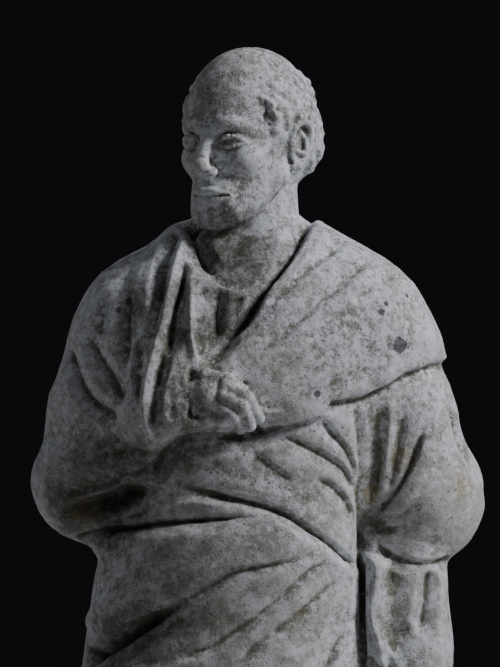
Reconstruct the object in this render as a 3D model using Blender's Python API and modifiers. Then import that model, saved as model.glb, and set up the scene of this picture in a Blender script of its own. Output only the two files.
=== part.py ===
"""An orator wrapped in a mantle, carved in one block of marble with its low plinth.

Everything is in metres, +Z up. The figure faces -Y, and the origin is at the middle of the plinth's
underside. The right arm lies in the sling of the mantle with the hand at the chest, and the left hand
is behind the hip.
"""

import math

import bmesh
import bpy
import numpy as np
from mathutils import Matrix, Vector
from mathutils.bvhtree import BVHTree

# Driving dimensions
FIGURE_HEIGHT = 1.740
PLINTH_WIDTH = 0.640
PLINTH_DEPTH = 0.500
PLINTH_HEIGHT = 0.095
PLINTH_CORNER = 0.060
PLINTH_EDGE = 0.006
MARBLE_COLOUR = (0.62, 0.61, 0.57, 1.0)
MARBLE_ROUGHNESS = 0.72

# The carver's grid lies on the front view. x grows to the viewer's right, y grows downwards, and the
# figure's middle, its crown and its soles are at these places.
GRID_AXIS = 252.0
GRID_CROWN = 47.0
GRID_SOLE = 1385.0
UNIT = FIGURE_HEIGHT / (GRID_SOLE - GRID_CROWN)
MILLIMETRE = FIGURE_HEIGHT / 1740

# How fine the block is worked, and how many faces are left
ROUGH_CELL = 0.012
FINE_CELL = 0.006
FIGURE_TRIANGLES = 9300
REACH = 0.020
SWELL = 0.12
CREASE_SHARE = 0.85
BARE_CARE = 0.014
RING_POINTS = 16

FRONT, RIGHT_SIDE, BACK, LEFT_SIDE = 0.0, 270.0, 180.0, 90.0


def grid_point(x, y, depth=0.0):
    """The point at grid place (x, y), that many units behind the figure's middle plane."""
    return np.array([(x - GRID_AXIS) * UNIT, depth * UNIT, PLINTH_HEIGHT + (GRID_SOLE - y) * UNIT])


def smooth_step(t):
    t = np.clip(t, 0, 1)
    return t * t * (3 - 2 * t)


def smooth_curve(knots, count):
    """That many points on a smooth curve through the knots, spaced evenly along it."""
    knots = np.array(knots, float)
    if len(knots) == 2:
        return knots[0] + np.linspace(0, 1, count)[:, None] * (knots[1] - knots[0])
    ends = np.vstack([2 * knots[0] - knots[1], knots, 2 * knots[-1] - knots[-2]])
    pieces = []
    for a, b, c, d in zip(ends, ends[1:], ends[2:], ends[3:]):
        t = np.linspace(0, 1, 12, endpoint=False)[:, None]
        bend = 2 * a - 5 * b + 4 * c - d + (3 * b - a - 3 * c + d) * t
        pieces.append(b + 0.5 * t * (c - a + t * bend))
    points = np.vstack([*pieces, knots[-1:]])
    run = np.concatenate([[0], np.cumsum(np.linalg.norm(np.diff(points, axis=0), axis=1))])
    even = np.linspace(0, run[-1], count)
    return np.stack([np.interp(even, run, column) for column in points.T], axis=1)


# Simple forms. Each gives a signed distance, below 0 inside, and rings for a rough mesh of itself.


class Form:
    """What all forms share: the box that they fill. Their rings are centres with two half axes each."""

    low, high = np.zeros(3), np.zeros(3)

    def near(self, points, margin):
        """Which points lie in the form's box or within the margin of it."""
        return ((points > self.low - margin) & (points < self.high + margin)).all(axis=1)


class Blob(Form):
    """An ellipsoid, turned about the upright axis."""

    def __init__(self, centre, radii, turn=0.0):
        self.centre = np.array(centre)
        self.radii = np.array(radii)
        self.turn = math.radians(turn)
        self.low = self.centre - self.radii.max()
        self.high = self.centre + self.radii.max()

    def distance(self, points):
        c, s = math.cos(self.turn), math.sin(self.turn)
        local = (points - self.centre) @ np.array([[c, -s, 0], [s, c, 0], [0, 0, 1]])
        near = np.linalg.norm(local / self.radii, axis=1) + 1e-9
        far = np.linalg.norm(local / self.radii**2, axis=1) + 1e-9
        return near * (near - 1) / far

    def rings(self):
        c, s = math.cos(self.turn), math.sin(self.turn)
        for tilt in np.linspace(-1.4, 1.4, 9):
            wide = math.cos(tilt) * self.radii[0] * np.array([c, s, 0])
            deep = math.cos(tilt) * self.radii[1] * np.array([-s, c, 0])
            yield self.centre + np.array([0, 0, math.sin(tilt) * self.radii[2]]), wide, deep


class Limb(Form):
    """A round bar from start to end, with a radius at each."""

    def __init__(self, start, end, start_radius, end_radius):
        self.start, self.end = np.array(start), np.array(end)
        self.start_radius, self.end_radius = start_radius, end_radius
        thick = max(start_radius, end_radius)
        self.low = np.minimum(self.start, self.end) - thick
        self.high = np.maximum(self.start, self.end) + thick

    def distance(self, points):
        run = self.end - self.start
        share = np.clip((points - self.start) @ run / (run @ run), 0, 1)
        reach = np.linalg.norm(points - self.start - share[:, None] * run, axis=1)
        return reach - (self.start_radius + share * (self.end_radius - self.start_radius))

    def rings(self):
        along_it = (self.end - self.start) / np.linalg.norm(self.end - self.start)
        across = np.cross(along_it, np.eye(3)[np.abs(along_it).argmin()])
        across /= np.linalg.norm(across)
        over = np.cross(along_it, across)
        for place, radius, tilts in (
            (self.start, self.start_radius, np.linspace(-1.4, 0, 4)),
            (self.end, self.end_radius, np.linspace(0, 1.4, 4)),
        ):
            for tilt in tilts:
                reach = radius * math.cos(tilt)
                yield place + radius * math.sin(tilt) * along_it, reach * across, reach * over


class Column(Form):
    """A loft between level ovals. A row is a height y, a middle x and depth, a half width and half depth."""

    def __init__(self, rows, power=2.0):
        self.rows = smooth_curve(rows, 60)
        self.rows = self.rows[np.argsort(self.rows[:, 0])]
        self.power = power
        y, x, depth, wide, deep = self.rows.T
        self.low = grid_point((x - wide).min(), y.max(), (depth - deep).min())
        self.high = grid_point((x + wide).max(), y.min(), (depth + deep).max())

    def section(self, height):
        """Middle x and y and the half sizes at each height above the origin, in metres."""
        y = GRID_SOLE - (height - PLINTH_HEIGHT) / UNIT
        found = [np.interp(y, self.rows[:, 0], self.rows[:, k]) * UNIT for k in range(1, 5)]
        return found[0] - GRID_AXIS * UNIT, found[1], found[2], found[3]

    def distance(self, points):
        mid_x, mid_y, wide, deep = self.section(points[:, 2])
        x, y = np.abs(points[:, 0] - mid_x), np.abs(points[:, 1] - mid_y)
        near = ((x / wide) ** self.power + (y / deep) ** self.power) ** (1 / self.power) + 1e-9
        far = np.sqrt((x / wide**2) ** 2 + (y / deep**2) ** 2) + 1e-9
        side = (near - 1) * np.minimum(near / far, 2 * wide)
        return np.maximum(side, np.maximum(points[:, 2] - self.high[2], self.low[2] - points[:, 2]))

    def rings(self):
        for y, x, depth, wide, deep in self.rows:
            yield grid_point(x, y, depth), np.array([wide * UNIT, 0, 0]), np.array([0, deep * UNIT, 0])


FAR = 1.0


def blend_of(first, second, blend):
    """The smaller of two distances, with a fillet of about that size between them."""
    share = np.clip(0.5 + 0.5 * (second - first) / blend, 0, 1)
    return second * (1 - share) + first * share - blend * share * (1 - share)


def add(joined, forms, points, blend):
    """Joins forms to what is there. Far from every form the distance stays as it was."""
    for form in forms:
        near = np.flatnonzero(form.near(points, blend + REACH))
        if len(near):
            joined[near] = blend_of(joined[near], form.distance(points[near]), blend)
    return joined


def join(forms, points, blend):
    return add(np.full(len(points), FAR), forms, points, blend)


def cut(joined, forms, points, blend):
    """Takes forms away, with a rounded rim."""
    for form in forms:
        near = np.flatnonzero(form.near(points, blend + REACH))
        if len(near):
            joined[near] = -blend_of(-joined[near], form.distance(points[near]), blend)
    return joined


# The figure's masses


def trunk_and_mantle():
    """The body under the mantle from the neck to the hem, with the hip out over the standing leg."""
    at = grid_point
    body = Column(
        [
            (210, 248, 10, 42, 38),
            (226, 248, 10, 66, 46),
            (244, 248, 8, 96, 58),
            (264, 248, 6, 124, 70),
            (290, 248, 2, 148, 82),
            (350, 248, -3, 154, 94),
            (400, 246, -4, 146, 98),
            (460, 243, -2, 134, 95),
            (520, 236, 0, 128, 92),
            (570, 231, 2, 131, 97),
            (640, 226, 4, 137, 105),
            (740, 225, 4, 143, 108),
            (900, 228, 0, 140, 102),
            (1080, 234, -4, 130, 98),
            (1230, 240, -6, 126, 98),
            (1322, 242, -6, 128, 100),
        ],
        power=2.2,
    )
    behind_feet = Column([(1290, 243, 24, 126, 72), (1399, 243, 26, 132, 74)], power=2.3)
    return [
        body,
        behind_feet,
        Blob(at(196, 395, -28), np.array([70, 62, 80]) * UNIT),
        Blob(at(232, 560, -22), np.array([104, 80, 90]) * UNIT),
        Limb(at(298, 760, -34), at(300, 985, -58), 66 * UNIT, 54 * UNIT),
        Limb(at(300, 985, -58), at(318, 1270, -6), 54 * UNIT, 48 * UNIT),
    ]


def arms():
    """Both arms under the mantle: the right one bent up to the chest, the left one bent back to the hip."""
    at = grid_point
    return [
        Limb(at(145, 320, 4), at(95, 480, 2), 59 * UNIT, 57 * UNIT),
        Blob(at(131, 350, 2), np.array([58, 55, 60]) * UNIT),
        Blob(at(111, 412, 2), np.array([58, 52, 52]) * UNIT),
        Limb(at(94, 482, 0), at(194, 412, -78), 54 * UNIT, 35 * UNIT),
        Limb(at(352, 322, 6), at(418, 488, 16), 58 * UNIT, 57 * UNIT),
        Blob(at(372, 352, 6), np.array([60, 55, 58]) * UNIT),
        Blob(at(394, 414, 10), np.array([58, 52, 52]) * UNIT),
        Blob(at(423, 509, 26), np.array([54, 58, 52]) * UNIT),
        Limb(at(418, 494, 18), at(340, 570, 92), 55 * UNIT, 38 * UNIT),
        Limb(at(184, 246, -24), at(158, 410, -66), 22 * UNIT, 38 * UNIT),
        Limb(at(178, 318, -66), at(173, 408, -98), 14 * UNIT, 23 * UNIT),
    ]


def hanging_end():
    """The end of the mantle that falls from the left forearm, close against the body."""
    end = Column(
        [
            (538, 402, 14, 42, 46),
            (600, 403, 16, 46, 52),
            (668, 403, 18, 50, 56),
            (800, 394, 24, 42, 52),
            (960, 386, 28, 34, 46),
            (1100, 374, 28, 28, 40),
            (1190, 366, 28, 16, 26),
        ],
        power=2.4,
    )
    against_body = Limb(grid_point(370, 540, -4), grid_point(366, 780, -8), 21 * UNIT, 22 * UNIT)
    return [end, against_body]


HEAD_TURN = -34.0
HEAD_NOD = 4.0
HEAD_PLACE = (246, 144, -4)


def head_point(x, y, z):
    """A point of the head, in its own millimetres: x to its left, y backwards, z up from the ears' middle."""
    turn, nod = math.radians(HEAD_TURN), math.radians(HEAD_NOD)
    y, z = y * math.cos(nod) - z * math.sin(nod), y * math.sin(nod) + z * math.cos(nod)
    x, y = x * math.cos(turn) - y * math.sin(turn), x * math.sin(turn) + y * math.cos(turn)
    return grid_point(*HEAD_PLACE) + np.array([x, y, z]) * MILLIMETRE


def head_blob(x, y, z, *radii):
    return Blob(head_point(x, y, z), np.array(radii) * MILLIMETRE, HEAD_TURN)


def head_limb(start, end, start_radius, end_radius):
    return Limb(head_point(*start), head_point(*end), start_radius * MILLIMETRE, end_radius * MILLIMETRE)


def head_bow(places, radius):
    """A bar of that radius bent through several places of the head."""
    knots = smooth_curve(places, 2 * len(places))
    return [head_limb(a, b, radius, radius) for a, b in zip(knots, knots[1:])]


def both_sides(make):
    """The forms that make gives for the right side of the head and for its left."""
    return [*make(-1), *make(1)]


def neck():
    return [Limb(grid_point(250, 248, 10), grid_point(251, 176, 10), 51 * UNIT, 45 * UNIT)]


def skull():
    """The bald skull, the broad planes of the face and the jaw."""
    forms = [
        head_blob(0, 12, 34, 77, 96, 91),
        head_blob(0, -26, -6, 62, 62, 84),
        head_blob(0, -42, -70, 45, 42, 36),
        head_blob(0, -76, -93, 22, 17, 16),
        head_blob(0, 34, 2, 80, 74, 62),
    ]
    forms += both_sides(lambda side: [head_limb((side * 56, -12, -40), (side * 27, -70, -86), 16, 13)])
    forms += both_sides(lambda side: [head_blob(side * 37, -58, -17, 20, 20, 17)])
    return forms


def brow_and_nose():
    """The brow ridge, the nose and the round of the mouth."""
    forms = [
        head_limb((0, -84, 17), (0, -106, -22), 6, 8),
        head_limb((0, -105, -25), (0, -94, -34), 9, 8),
        head_blob(0, -79, -60, 29, 16, 20),
    ]
    forms += both_sides(
        lambda side: head_bow([(side * 6, -82, 25), (side * 28, -80, 30), (side * 49, -61, 23)], 5.5)
    )
    return forms


def eye_hollows():
    return both_sides(lambda side: [head_blob(side * 30, -97, 8, 20, 20, 13)])


def eyes():
    """The balls of the eyes and their lids."""
    forms = both_sides(lambda side: [head_blob(side * 31, -69.5, 7, 15, 13.5, 13)])
    forms += both_sides(
        lambda side: head_bow(
            [(side * 15, -78, 5), (side * 24, -84, 12), (side * 37, -82.5, 12.5), (side * 48, -71, 5)], 2.5
        )
    )
    forms += both_sides(
        lambda side: head_bow(
            [(side * 15, -78, 4), (side * 25, -82.5, 0), (side * 37, -81, 0), (side * 48, -71, 4)], 2.1
        )
    )
    return forms


def nostrils_and_lips():
    forms = both_sides(lambda side: [head_blob(side * 11.5, -98, -32, 6.5, 9.5, 6)])
    forms += both_sides(
        lambda side: head_bow([(0, -95.5, -57.5), (side * 11, -93.5, -56.5), (side * 25, -83, -62)], 3.6)
    )
    forms += both_sides(
        lambda side: head_bow([(0, -92.5, -70), (side * 10, -91.5, -69), (side * 22, -83, -64)], 4.4)
    )
    return forms


def mouth_line():
    return both_sides(
        lambda side: head_bow([(0, -99, -63.5), (side * 13, -95.5, -62.5), (side * 27, -84.5, -63)], 1.5)
    )


def ears():
    """Each ear's rim, lobe and inner fold."""
    def make(side):
        rim = [
            (side * 72, -6, 2), (side * 79, -2, 20), (side * 84, 12, 27), (side * 86, 24, 16),
            (side * 82, 22, -8), (side * 76, 9, -30), (side * 73, 0, -32),
        ]
        inner = [(side * 78, 2, -12), (side * 82, 13, -14), (side * 82, 16, 2), (side * 79, 8, 14)]
        return [head_blob(side * 73, 10, -3, 6, 17, 27), *head_bow(rim, 4.4), *head_bow(inner, 3.0)]

    return both_sides(make)


# Each row of locks: its height, where it starts round from the face, and its thickness
HAIR_ROWS = [
    (78, 62, 7), (64, 56, 8), (50, 50, 8), (36, 48, 8), (22, 50, 8), (8, 55, 8), (-6, 114, 8),
    (-20, 115, 8), (-34, 119, 8), (-48, 126, 7),
]
LOCK_STEP = 13.0
EAR_SPAN = (73, 112)


def on_skull(angle, z):
    """The skull's surface that many degrees round from the face at height z, and its outward direction."""
    turn = math.radians(angle)
    out = np.array([math.sin(turn), -math.cos(turn), 0.0])
    centre = np.array([0, 14, z])
    reaches = np.linspace(30, 120, 91)
    places = np.array([head_point(*(centre + reach * out)) for reach in reaches])
    inside = join(skull(), places, 15 * MILLIMETRE) < 0
    return centre + reaches[inside].max(initial=reaches[0]) * out, out


def hair():
    """Short comma-shaped locks in rows round the sides and the back, from the temples to the nape."""
    def make(side):
        forms = []
        for row, (z, first, thick) in enumerate(HAIR_ROWS):
            angle = first + (row % 2) * LOCK_STEP / 2
            while angle < 186:
                over_ear = EAR_SPAN[0] < angle < EAR_SPAN[1] and z < 36
                if not over_ear:
                    curl = 6 * math.sin(2.3 * angle + 1.7 * row)
                    length = 24 + 5 * math.sin(0.7 * angle + row)
                    bulge = -3.2 + 1.0 * math.sin(1.1 * angle + row)
                    places = []
                    for share, swing in ((0.0, -6), (0.5, 5), (1.0, 1)):
                        place, out = on_skull(angle + swing + curl * share, z + 11 - length * share)
                        place = place + (bulge + thick * (0.35 - 0.1 * share)) * out
                        places.append(place * np.array([side, 1, 1]))
                    forms += [
                        head_limb(places[0], places[1], 0.55 * thick, 0.8 * thick),
                        head_limb(places[1], places[2], 0.8 * thick, 0.4 * thick),
                    ]
                angle += LOCK_STEP
        return forms

    return both_sides(make)


HAND_DEPTH = -112.0


def finger(knuckle, middle, tip, thick):
    """Three grid places with a depth each, joined by two bars."""
    knuckle, middle, tip = (grid_point(*place) for place in (knuckle, middle, tip))
    return [
        Limb(knuckle, middle, thick * UNIT, 0.94 * thick * UNIT),
        Limb(middle, tip, 0.94 * thick * UNIT, 0.8 * thick * UNIT),
    ]


def right_hand():
    """The hand that comes out of the sling, its fingers closed over the mantle's edge."""
    near = HAND_DEPTH
    forms = [
        Blob(grid_point(207, 396, near + 2), np.array([24, 15, 23]) * UNIT),
        Limb(grid_point(188, 398, near + 14), grid_point(206, 396, near + 4), 25 * UNIT, 19 * UNIT),
    ]
    forms += finger((206, 374, near + 2), (228, 379, near - 2), (242, 388, near + 4), 7.0)
    forms += finger((226, 386, near - 6), (247, 396, near - 8), (259, 417, near + 3), 7.6)
    forms += finger((224, 394, near - 8), (242, 405, near - 11), (250, 424, near + 1), 7.8)
    forms += finger((219, 404, near - 6), (233, 414, near - 10), (240, 427, near + 2), 7.4)
    forms += finger((210, 412, near - 2), (223, 418, near - 6), (230, 424, near + 4), 6.6)
    return forms


def foot(heel, ball, turn):
    """A bare foot that comes out from under the hem, with its five toes."""
    heel, ball = np.array(heel), np.array(ball)
    forms = [
        Limb(grid_point(heel[0], high, heel[1]), grid_point(ball[0], low, ball[1]), back * UNIT, front * UNIT)
        for high, low, back, front in ((1355, 1364, 31, 25), (1318, 1366, 27, 20))
    ]
    across = np.array([math.cos(math.radians(turn)), math.sin(math.radians(turn))])
    ahead = (ball - heel) / np.linalg.norm(ball - heel)
    for toe, reach in ((-2, 25), (-1, 31), (0, 33), (1, 33), (2, 34)):
        inner = 1 if turn > 0 else -1
        root = ball + across * 10.5 * toe * inner
        tip = root + ahead * reach
        thick = 8 + 2.0 * (toe == 2)
        start, end = grid_point(root[0], 1373, root[1]), grid_point(tip[0], 1378, tip[1])
        forms.append(Limb(start, end, 10 * UNIT, thick * UNIT))
    return forms


def feet():
    return foot((196, -40), (182, -108), -12) + foot((322, -44), (346, -112), 18)


CLOTH_FORMS = [*trunk_and_mantle(), *arms()]
END_FORMS = hanging_end()
HAND_FORMS = right_hand()
FEET_FORMS = feet()
NECK_FORMS, SKULL_FORMS, ORBIT_FORMS, BROW_FORMS = neck(), skull(), eye_hollows(), brow_and_nose()
LIP_FORMS, MOUTH_FORMS, EYE_FORMS = nostrils_and_lips(), mouth_line(), eyes()
EAR_FORMS, HAIR_FORMS = ears(), hair()
SOLID_FORMS = [
    *CLOTH_FORMS, *END_FORMS, *HAND_FORMS, *FEET_FORMS, *NECK_FORMS, *SKULL_FORMS, *BROW_FORMS,
    *LIP_FORMS, *EYE_FORMS, *EAR_FORMS, *HAIR_FORMS,
]


def head_distance(points):
    joined = join([*SKULL_FORMS, *NECK_FORMS], points, 15 * MILLIMETRE)
    joined = cut(joined, ORBIT_FORMS, points, 9 * MILLIMETRE)
    joined = add(joined, BROW_FORMS, points, 9 * MILLIMETRE)
    joined = add(joined, LIP_FORMS, points, 4 * MILLIMETRE)
    joined = cut(joined, MOUTH_FORMS, points, 2 * MILLIMETRE)
    joined = add(joined, EYE_FORMS, points, 2 * MILLIMETRE)
    joined = add(joined, HAIR_FORMS, points, 4.5 * MILLIMETRE)
    return add(joined, EAR_FORMS, points, 2.5 * MILLIMETRE)


def figure_distance(points):
    """The signed distance to the whole figure before its folds are cut."""
    joined = join(CLOTH_FORMS, points, 30 * UNIT)
    joined = blend_of(joined, join(END_FORMS, points, 14 * UNIT), 12 * UNIT)
    joined = blend_of(joined, join(FEET_FORMS, points, 6 * UNIT), 3 * UNIT)
    joined = blend_of(joined, join(HAND_FORMS, points, 2.2 * UNIT), 2 * UNIT)
    high = points[:, 2] > grid_point(0, 270)[2]
    joined[high] = blend_of(joined[high], head_distance(points[high]), 5 * UNIT)
    return joined


# The carving. A stroke is drawn on an elevation of the figure and cut where it meets the form.


class Stroke:
    """A fold's line on the view from one side, with the depth of its crease and the height of its ridge.

    A crease is a sharp valley of that half width. A lip is the rounded edge that rises on its right hand
    (positive) or left hand (negative), as one goes along the line. A ridge stands on the line itself.
    """

    def __init__(self, line, crease=0.0, width=6.0, lip=0.0, ridge=0.0, ends=(0.2, 0.2), view=FRONT):
        self.line, self.view, self.ends = line, view, ends
        self.crease, self.width, self.lip, self.ridge = crease, width, lip, ridge


# The sling round the right arm, from the shoulder down to the elbow and the wrist
SLING_FOLDS = [
    Stroke([(178, 228), (172, 243), (165, 263), (162, 286), (159, 306), (155, 328), (151, 350)],
           crease=14, width=8, lip=-3, ends=(0.08, 0.45)),
    Stroke([(186, 230), (177, 262), (171, 288), (167, 314), (159, 344), (150, 378), (147, 406), (151, 428),
            (164, 444)], ridge=8, width=8, ends=(0.15, 0.25)),
    Stroke([(189, 256), (184, 279), (178, 300), (173, 322), (170, 344), (167, 368)],
           crease=18, width=8, ends=(0.25, 0.3)),
    Stroke([(163, 350), (157, 374), (153, 396), (151, 418), (157, 434)],
           crease=13, width=8, ends=(0.3, 0.15)),
    Stroke([(190, 250), (191, 278), (191, 305), (191, 332), (194, 354), (198, 364)],
           ridge=7, width=6, ends=(0.4, 0.1)),
    Stroke([(194, 222), (198, 242), (203, 258), (213, 272), (223, 283)],
           crease=19, width=9, ends=(0.02, 0.4)),
    Stroke([(204, 284), (209, 302), (214, 320)], crease=4, width=6, ends=(0.3, 0.3)),
    Stroke([(133, 258), (126, 276), (121, 294), (118, 312)], crease=8, width=8, ends=(0.3, 0.35)),
    Stroke([(133, 288), (129, 309), (127, 330), (127, 352), (130, 376)],
           crease=12, width=10, ends=(0.25, 0.3)),
    Stroke([(146, 322), (142, 345), (139, 366), (137, 388), (136, 408), (139, 428)],
           crease=9, width=7, ends=(0.3, 0.2)),
    Stroke([(141, 326), (135, 349), (133, 372), (132, 400)], ridge=4, width=5, ends=(0.3, 0.3)),
    Stroke([(176, 366), (172, 392), (176, 424)], crease=5, width=7, ends=(0.3, 0.2)),
    Stroke([(184, 352), (183, 380), (186, 404), (192, 426)], crease=5, width=6, ends=(0.3, 0.2)),
    Stroke([(193, 362), (195, 384), (196, 405), (199, 424)], crease=12, width=6, ends=(0.2, 0.2)),
    Stroke([(67, 338), (70, 356), (76, 374), (84, 390), (96, 404), (107, 411), (122, 424)],
           crease=13, width=8, lip=3, ends=(0.2, 0.2)),
    Stroke([(88, 330), (94, 348), (101, 361), (110, 376), (117, 392), (122, 408)],
           crease=12, width=9, lip=3, ends=(0.25, 0.2)),
    Stroke([(112, 300), (106, 318), (100, 338)], crease=4, width=9),
    Stroke([(48, 428), (58, 440), (72, 448)], crease=4, width=8),
    Stroke([(62, 486), (96, 482), (130, 475), (154, 463)], crease=9, width=8),
    Stroke([(78, 472), (108, 467), (138, 456)], crease=6, width=7),
    Stroke([(58, 503), (82, 498), (106, 491), (130, 484)], ridge=5, width=8),
    Stroke([(50, 516), (80, 514), (106, 506), (132, 495), (156, 482)],
           crease=30, width=25, ends=(0.3, 0.3)),
    Stroke([(112, 432), (128, 452), (152, 464)], crease=6, width=9),
]

# The rolls under the arm and the folds drawn across the belly to the left hip
BELLY_FOLDS = [
    Stroke([(150, 476), (164, 456), (186, 443), (212, 438), (240, 437), (266, 429), (300, 422), (322, 417)],
           crease=17, width=10, ends=(0.1, 0.35)),
    Stroke([(56, 530), (80, 531), (104, 523), (130, 510), (156, 496), (176, 492)], ridge=8, width=9),
    Stroke([(66, 540), (88, 537), (112, 530), (146, 522), (188, 517), (232, 515), (270, 516), (298, 519)],
           crease=18, width=9, lip=-5, ends=(0.05, 0.45)),
    Stroke([(166, 478), (197, 486), (228, 494), (255, 500), (282, 509), (304, 523), (326, 538), (343, 552),
            (355, 565)], crease=15, width=8, lip=-7, ends=(0.3, 0.08)),
    Stroke([(240, 438), (262, 448), (282, 458), (300, 464)], crease=3, width=8),
    Stroke([(260, 433), (290, 437), (314, 446), (334, 458), (348, 474), (357, 492)],
           crease=8, width=8, lip=-3),
    Stroke([(318, 416), (331, 430), (344, 444), (356, 464)], crease=7, width=8, lip=-3),
    Stroke([(300, 476), (322, 479), (334, 486), (344, 496), (350, 508), (355, 522)],
           crease=6, width=8, lip=-3),
    Stroke([(80, 664), (97, 646), (126, 629), (152, 614), (176, 603), (202, 590)],
           crease=24, width=15, lip=-8, ends=(0.03, 0.45)),
    Stroke([(150, 612), (176, 599), (198, 589), (220, 576), (238, 567), (273, 561), (308, 553), (334, 546)],
           crease=8, width=6, lip=-4, ends=(0.2, 0.35)),
    Stroke([(172, 668), (192, 650), (216, 638), (250, 616), (282, 591), (308, 568), (340, 550)],
           crease=8, width=6, lip=-4, ends=(0.2, 0.25)),
    Stroke([(210, 706), (232, 670), (246, 650), (262, 637), (290, 616), (320, 590), (348, 566)],
           crease=6, width=8, lip=-3),
    Stroke([(116, 642), (148, 632), (178, 618), (204, 602)], crease=12, width=20, ends=(0.3, 0.4)),
    Stroke([(106, 648), (130, 660), (160, 664), (190, 658), (214, 644)], ridge=5, width=10),
    Stroke([(353, 398), (357, 424), (359, 450), (360, 480), (358, 505), (359, 535), (360, 570), (362, 604),
            (365, 640), (366, 680), (365, 730)], crease=11, width=6, lip=3, ends=(0.05, 0.15)),
]

# The left sleeve, drawn in at the crook of the arm, and the cloth that hangs below it
LEFT_ARM_FOLDS = [
    Stroke([(362, 400), (365, 430), (366, 462), (365, 492), (362, 515)], ridge=4, width=6, ends=(0.1, 0.3)),
    Stroke([(370, 392), (375, 425), (377, 458), (375, 488), (368, 516)],
           crease=10, width=8, ends=(0.08, 0.2)),
    Stroke([(387, 386), (388, 425), (386, 462), (380, 494)], ridge=6, width=8, ends=(0.1, 0.25)),
    Stroke([(395, 384), (396, 425), (396, 460), (389, 490), (374, 518)],
           crease=11, width=10, ends=(0.2, 0.15)),
    Stroke([(425, 412), (420, 438), (410, 464), (396, 488), (384, 503), (371, 519)],
           crease=15, width=8, lip=-6, ends=(0.3, 0.15)),
    Stroke([(364, 510), (370, 522), (380, 530)], crease=5, width=10, ends=(0.3, 0.3)),
    Stroke([(372, 524), (390, 519), (410, 511), (442, 492)], crease=6, width=10, ends=(0.1, 0.5)),
    Stroke([(372, 528), (396, 524), (420, 520), (446, 516)], crease=7, width=8, ends=(0.1, 0.5)),
    Stroke([(368, 534), (386, 549), (410, 559), (436, 561), (462, 551)],
           crease=11, width=8, lip=-6, ends=(0.12, 0.12)),
    Stroke([(362, 536), (370, 550), (380, 568), (382, 585), (376, 606), (381, 632), (396, 664), (410, 700)],
           ridge=7, width=9, ends=(0.1, 0.2)),
    Stroke([(394, 566), (386, 588), (388, 608)], crease=4, width=12, ends=(0.3, 0.4)),
    Stroke([(422, 568), (416, 590), (413, 612), (406, 630)], crease=13, width=7, ends=(0.12, 0.35)),
    Stroke([(433, 564), (430, 588), (425, 612), (414, 640)], crease=16, width=7, ends=(0.1, 0.3)),
    Stroke([(427, 568), (423, 592), (419, 614)], ridge=5, width=5, ends=(0.1, 0.3)),
    Stroke([(376, 612), (388, 624), (404, 625), (419, 617)], crease=8, width=7, lip=-5),
    Stroke([(364, 634), (371, 650), (381, 661), (398, 669), (430, 676)],
           crease=10, width=8, lip=-4, ends=(0.2, 0.5)),
]

# The tunic at the neck, and the mantle from the left shoulder down across the chest
CHEST_FOLDS = [
    Stroke([(309, 226), (300, 245), (290, 262), (278, 277), (266, 291), (254, 313), (238, 332), (212, 347)],
           crease=15, width=8, lip=-6, ends=(0.1, 0.2)),
    Stroke([(298, 228), (292, 243), (276, 268), (260, 292)], crease=9, width=7, ends=(0.1, 0.4)),
    Stroke([(200, 284), (209, 306), (216, 336)], crease=5, width=7),
    Stroke([(222, 286), (217, 312), (219, 342)], crease=9, width=7),
    Stroke([(240, 292), (238, 308), (232, 326)], crease=4, width=7),
    Stroke([(205, 262), (214, 279), (232, 288), (254, 285), (274, 268)], crease=5, width=6, lip=3),
    Stroke([(242, 336), (229, 352), (213, 369)], crease=7, width=7, lip=-3),
    Stroke([(352, 240), (326, 260), (298, 281), (270, 306), (238, 340)], crease=7, width=9, lip=-3),
    Stroke([(374, 258), (345, 284), (318, 306), (290, 330), (248, 364)], crease=6, width=8, lip=-3),
    Stroke([(410, 280), (390, 282), (369, 291), (348, 305)], crease=8, width=7, lip=-3),
    Stroke([(444, 334), (404, 347), (352, 364), (300, 388)], ridge=3, width=14),
    Stroke([(420, 345), (378, 355), (345, 372), (312, 394)], crease=5, width=9),
    Stroke([(262, 402), (276, 407), (292, 408)], crease=4, width=5),
    Stroke([(318, 405), (336, 402), (358, 400), (368, 395), (386, 387), (406, 376), (432, 367), (454, 365)],
           crease=9, width=8, ends=(0.1, 0.02)),
]


def fan(first, last, count, **cut):
    """That many strokes, spread evenly from the first line to the last."""
    first, last = np.array(first, float), np.array(last, float)
    return [Stroke(first + share * (last - first), **cut) for share in np.linspace(0, 1, count)]


def skirt_folds():
    """Folds drawn from the left hip down across the legs, and the hem's upright ones."""
    high = [(350, 600), (318, 680), (244, 770), (150, 850), (100, 880)]
    low = [(366, 850), (372, 1000), (360, 1130), (322, 1250), (290, 1318)]
    folds = fan(high, low, 5, crease=11, width=11, lip=-5)
    outer = [(396, 690), (390, 850), (378, 1040), (370, 1180)]
    inner = [(424, 700), (414, 860), (398, 1040), (382, 1170)]
    folds += fan(outer, inner, 2, crease=8, width=9)
    for x in (150, 183, 221, 256, 342):
        folds.append(Stroke([(x, 1215), (x + 2, 1270), (x + 3, 1322)], crease=9, width=8.5))
    folds.append(Stroke([(100, 700), (96, 800), (104, 900)], crease=6, width=9))
    folds.append(Stroke([(130, 690), (190, 730), (250, 700)], crease=6, width=12))
    return folds


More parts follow.
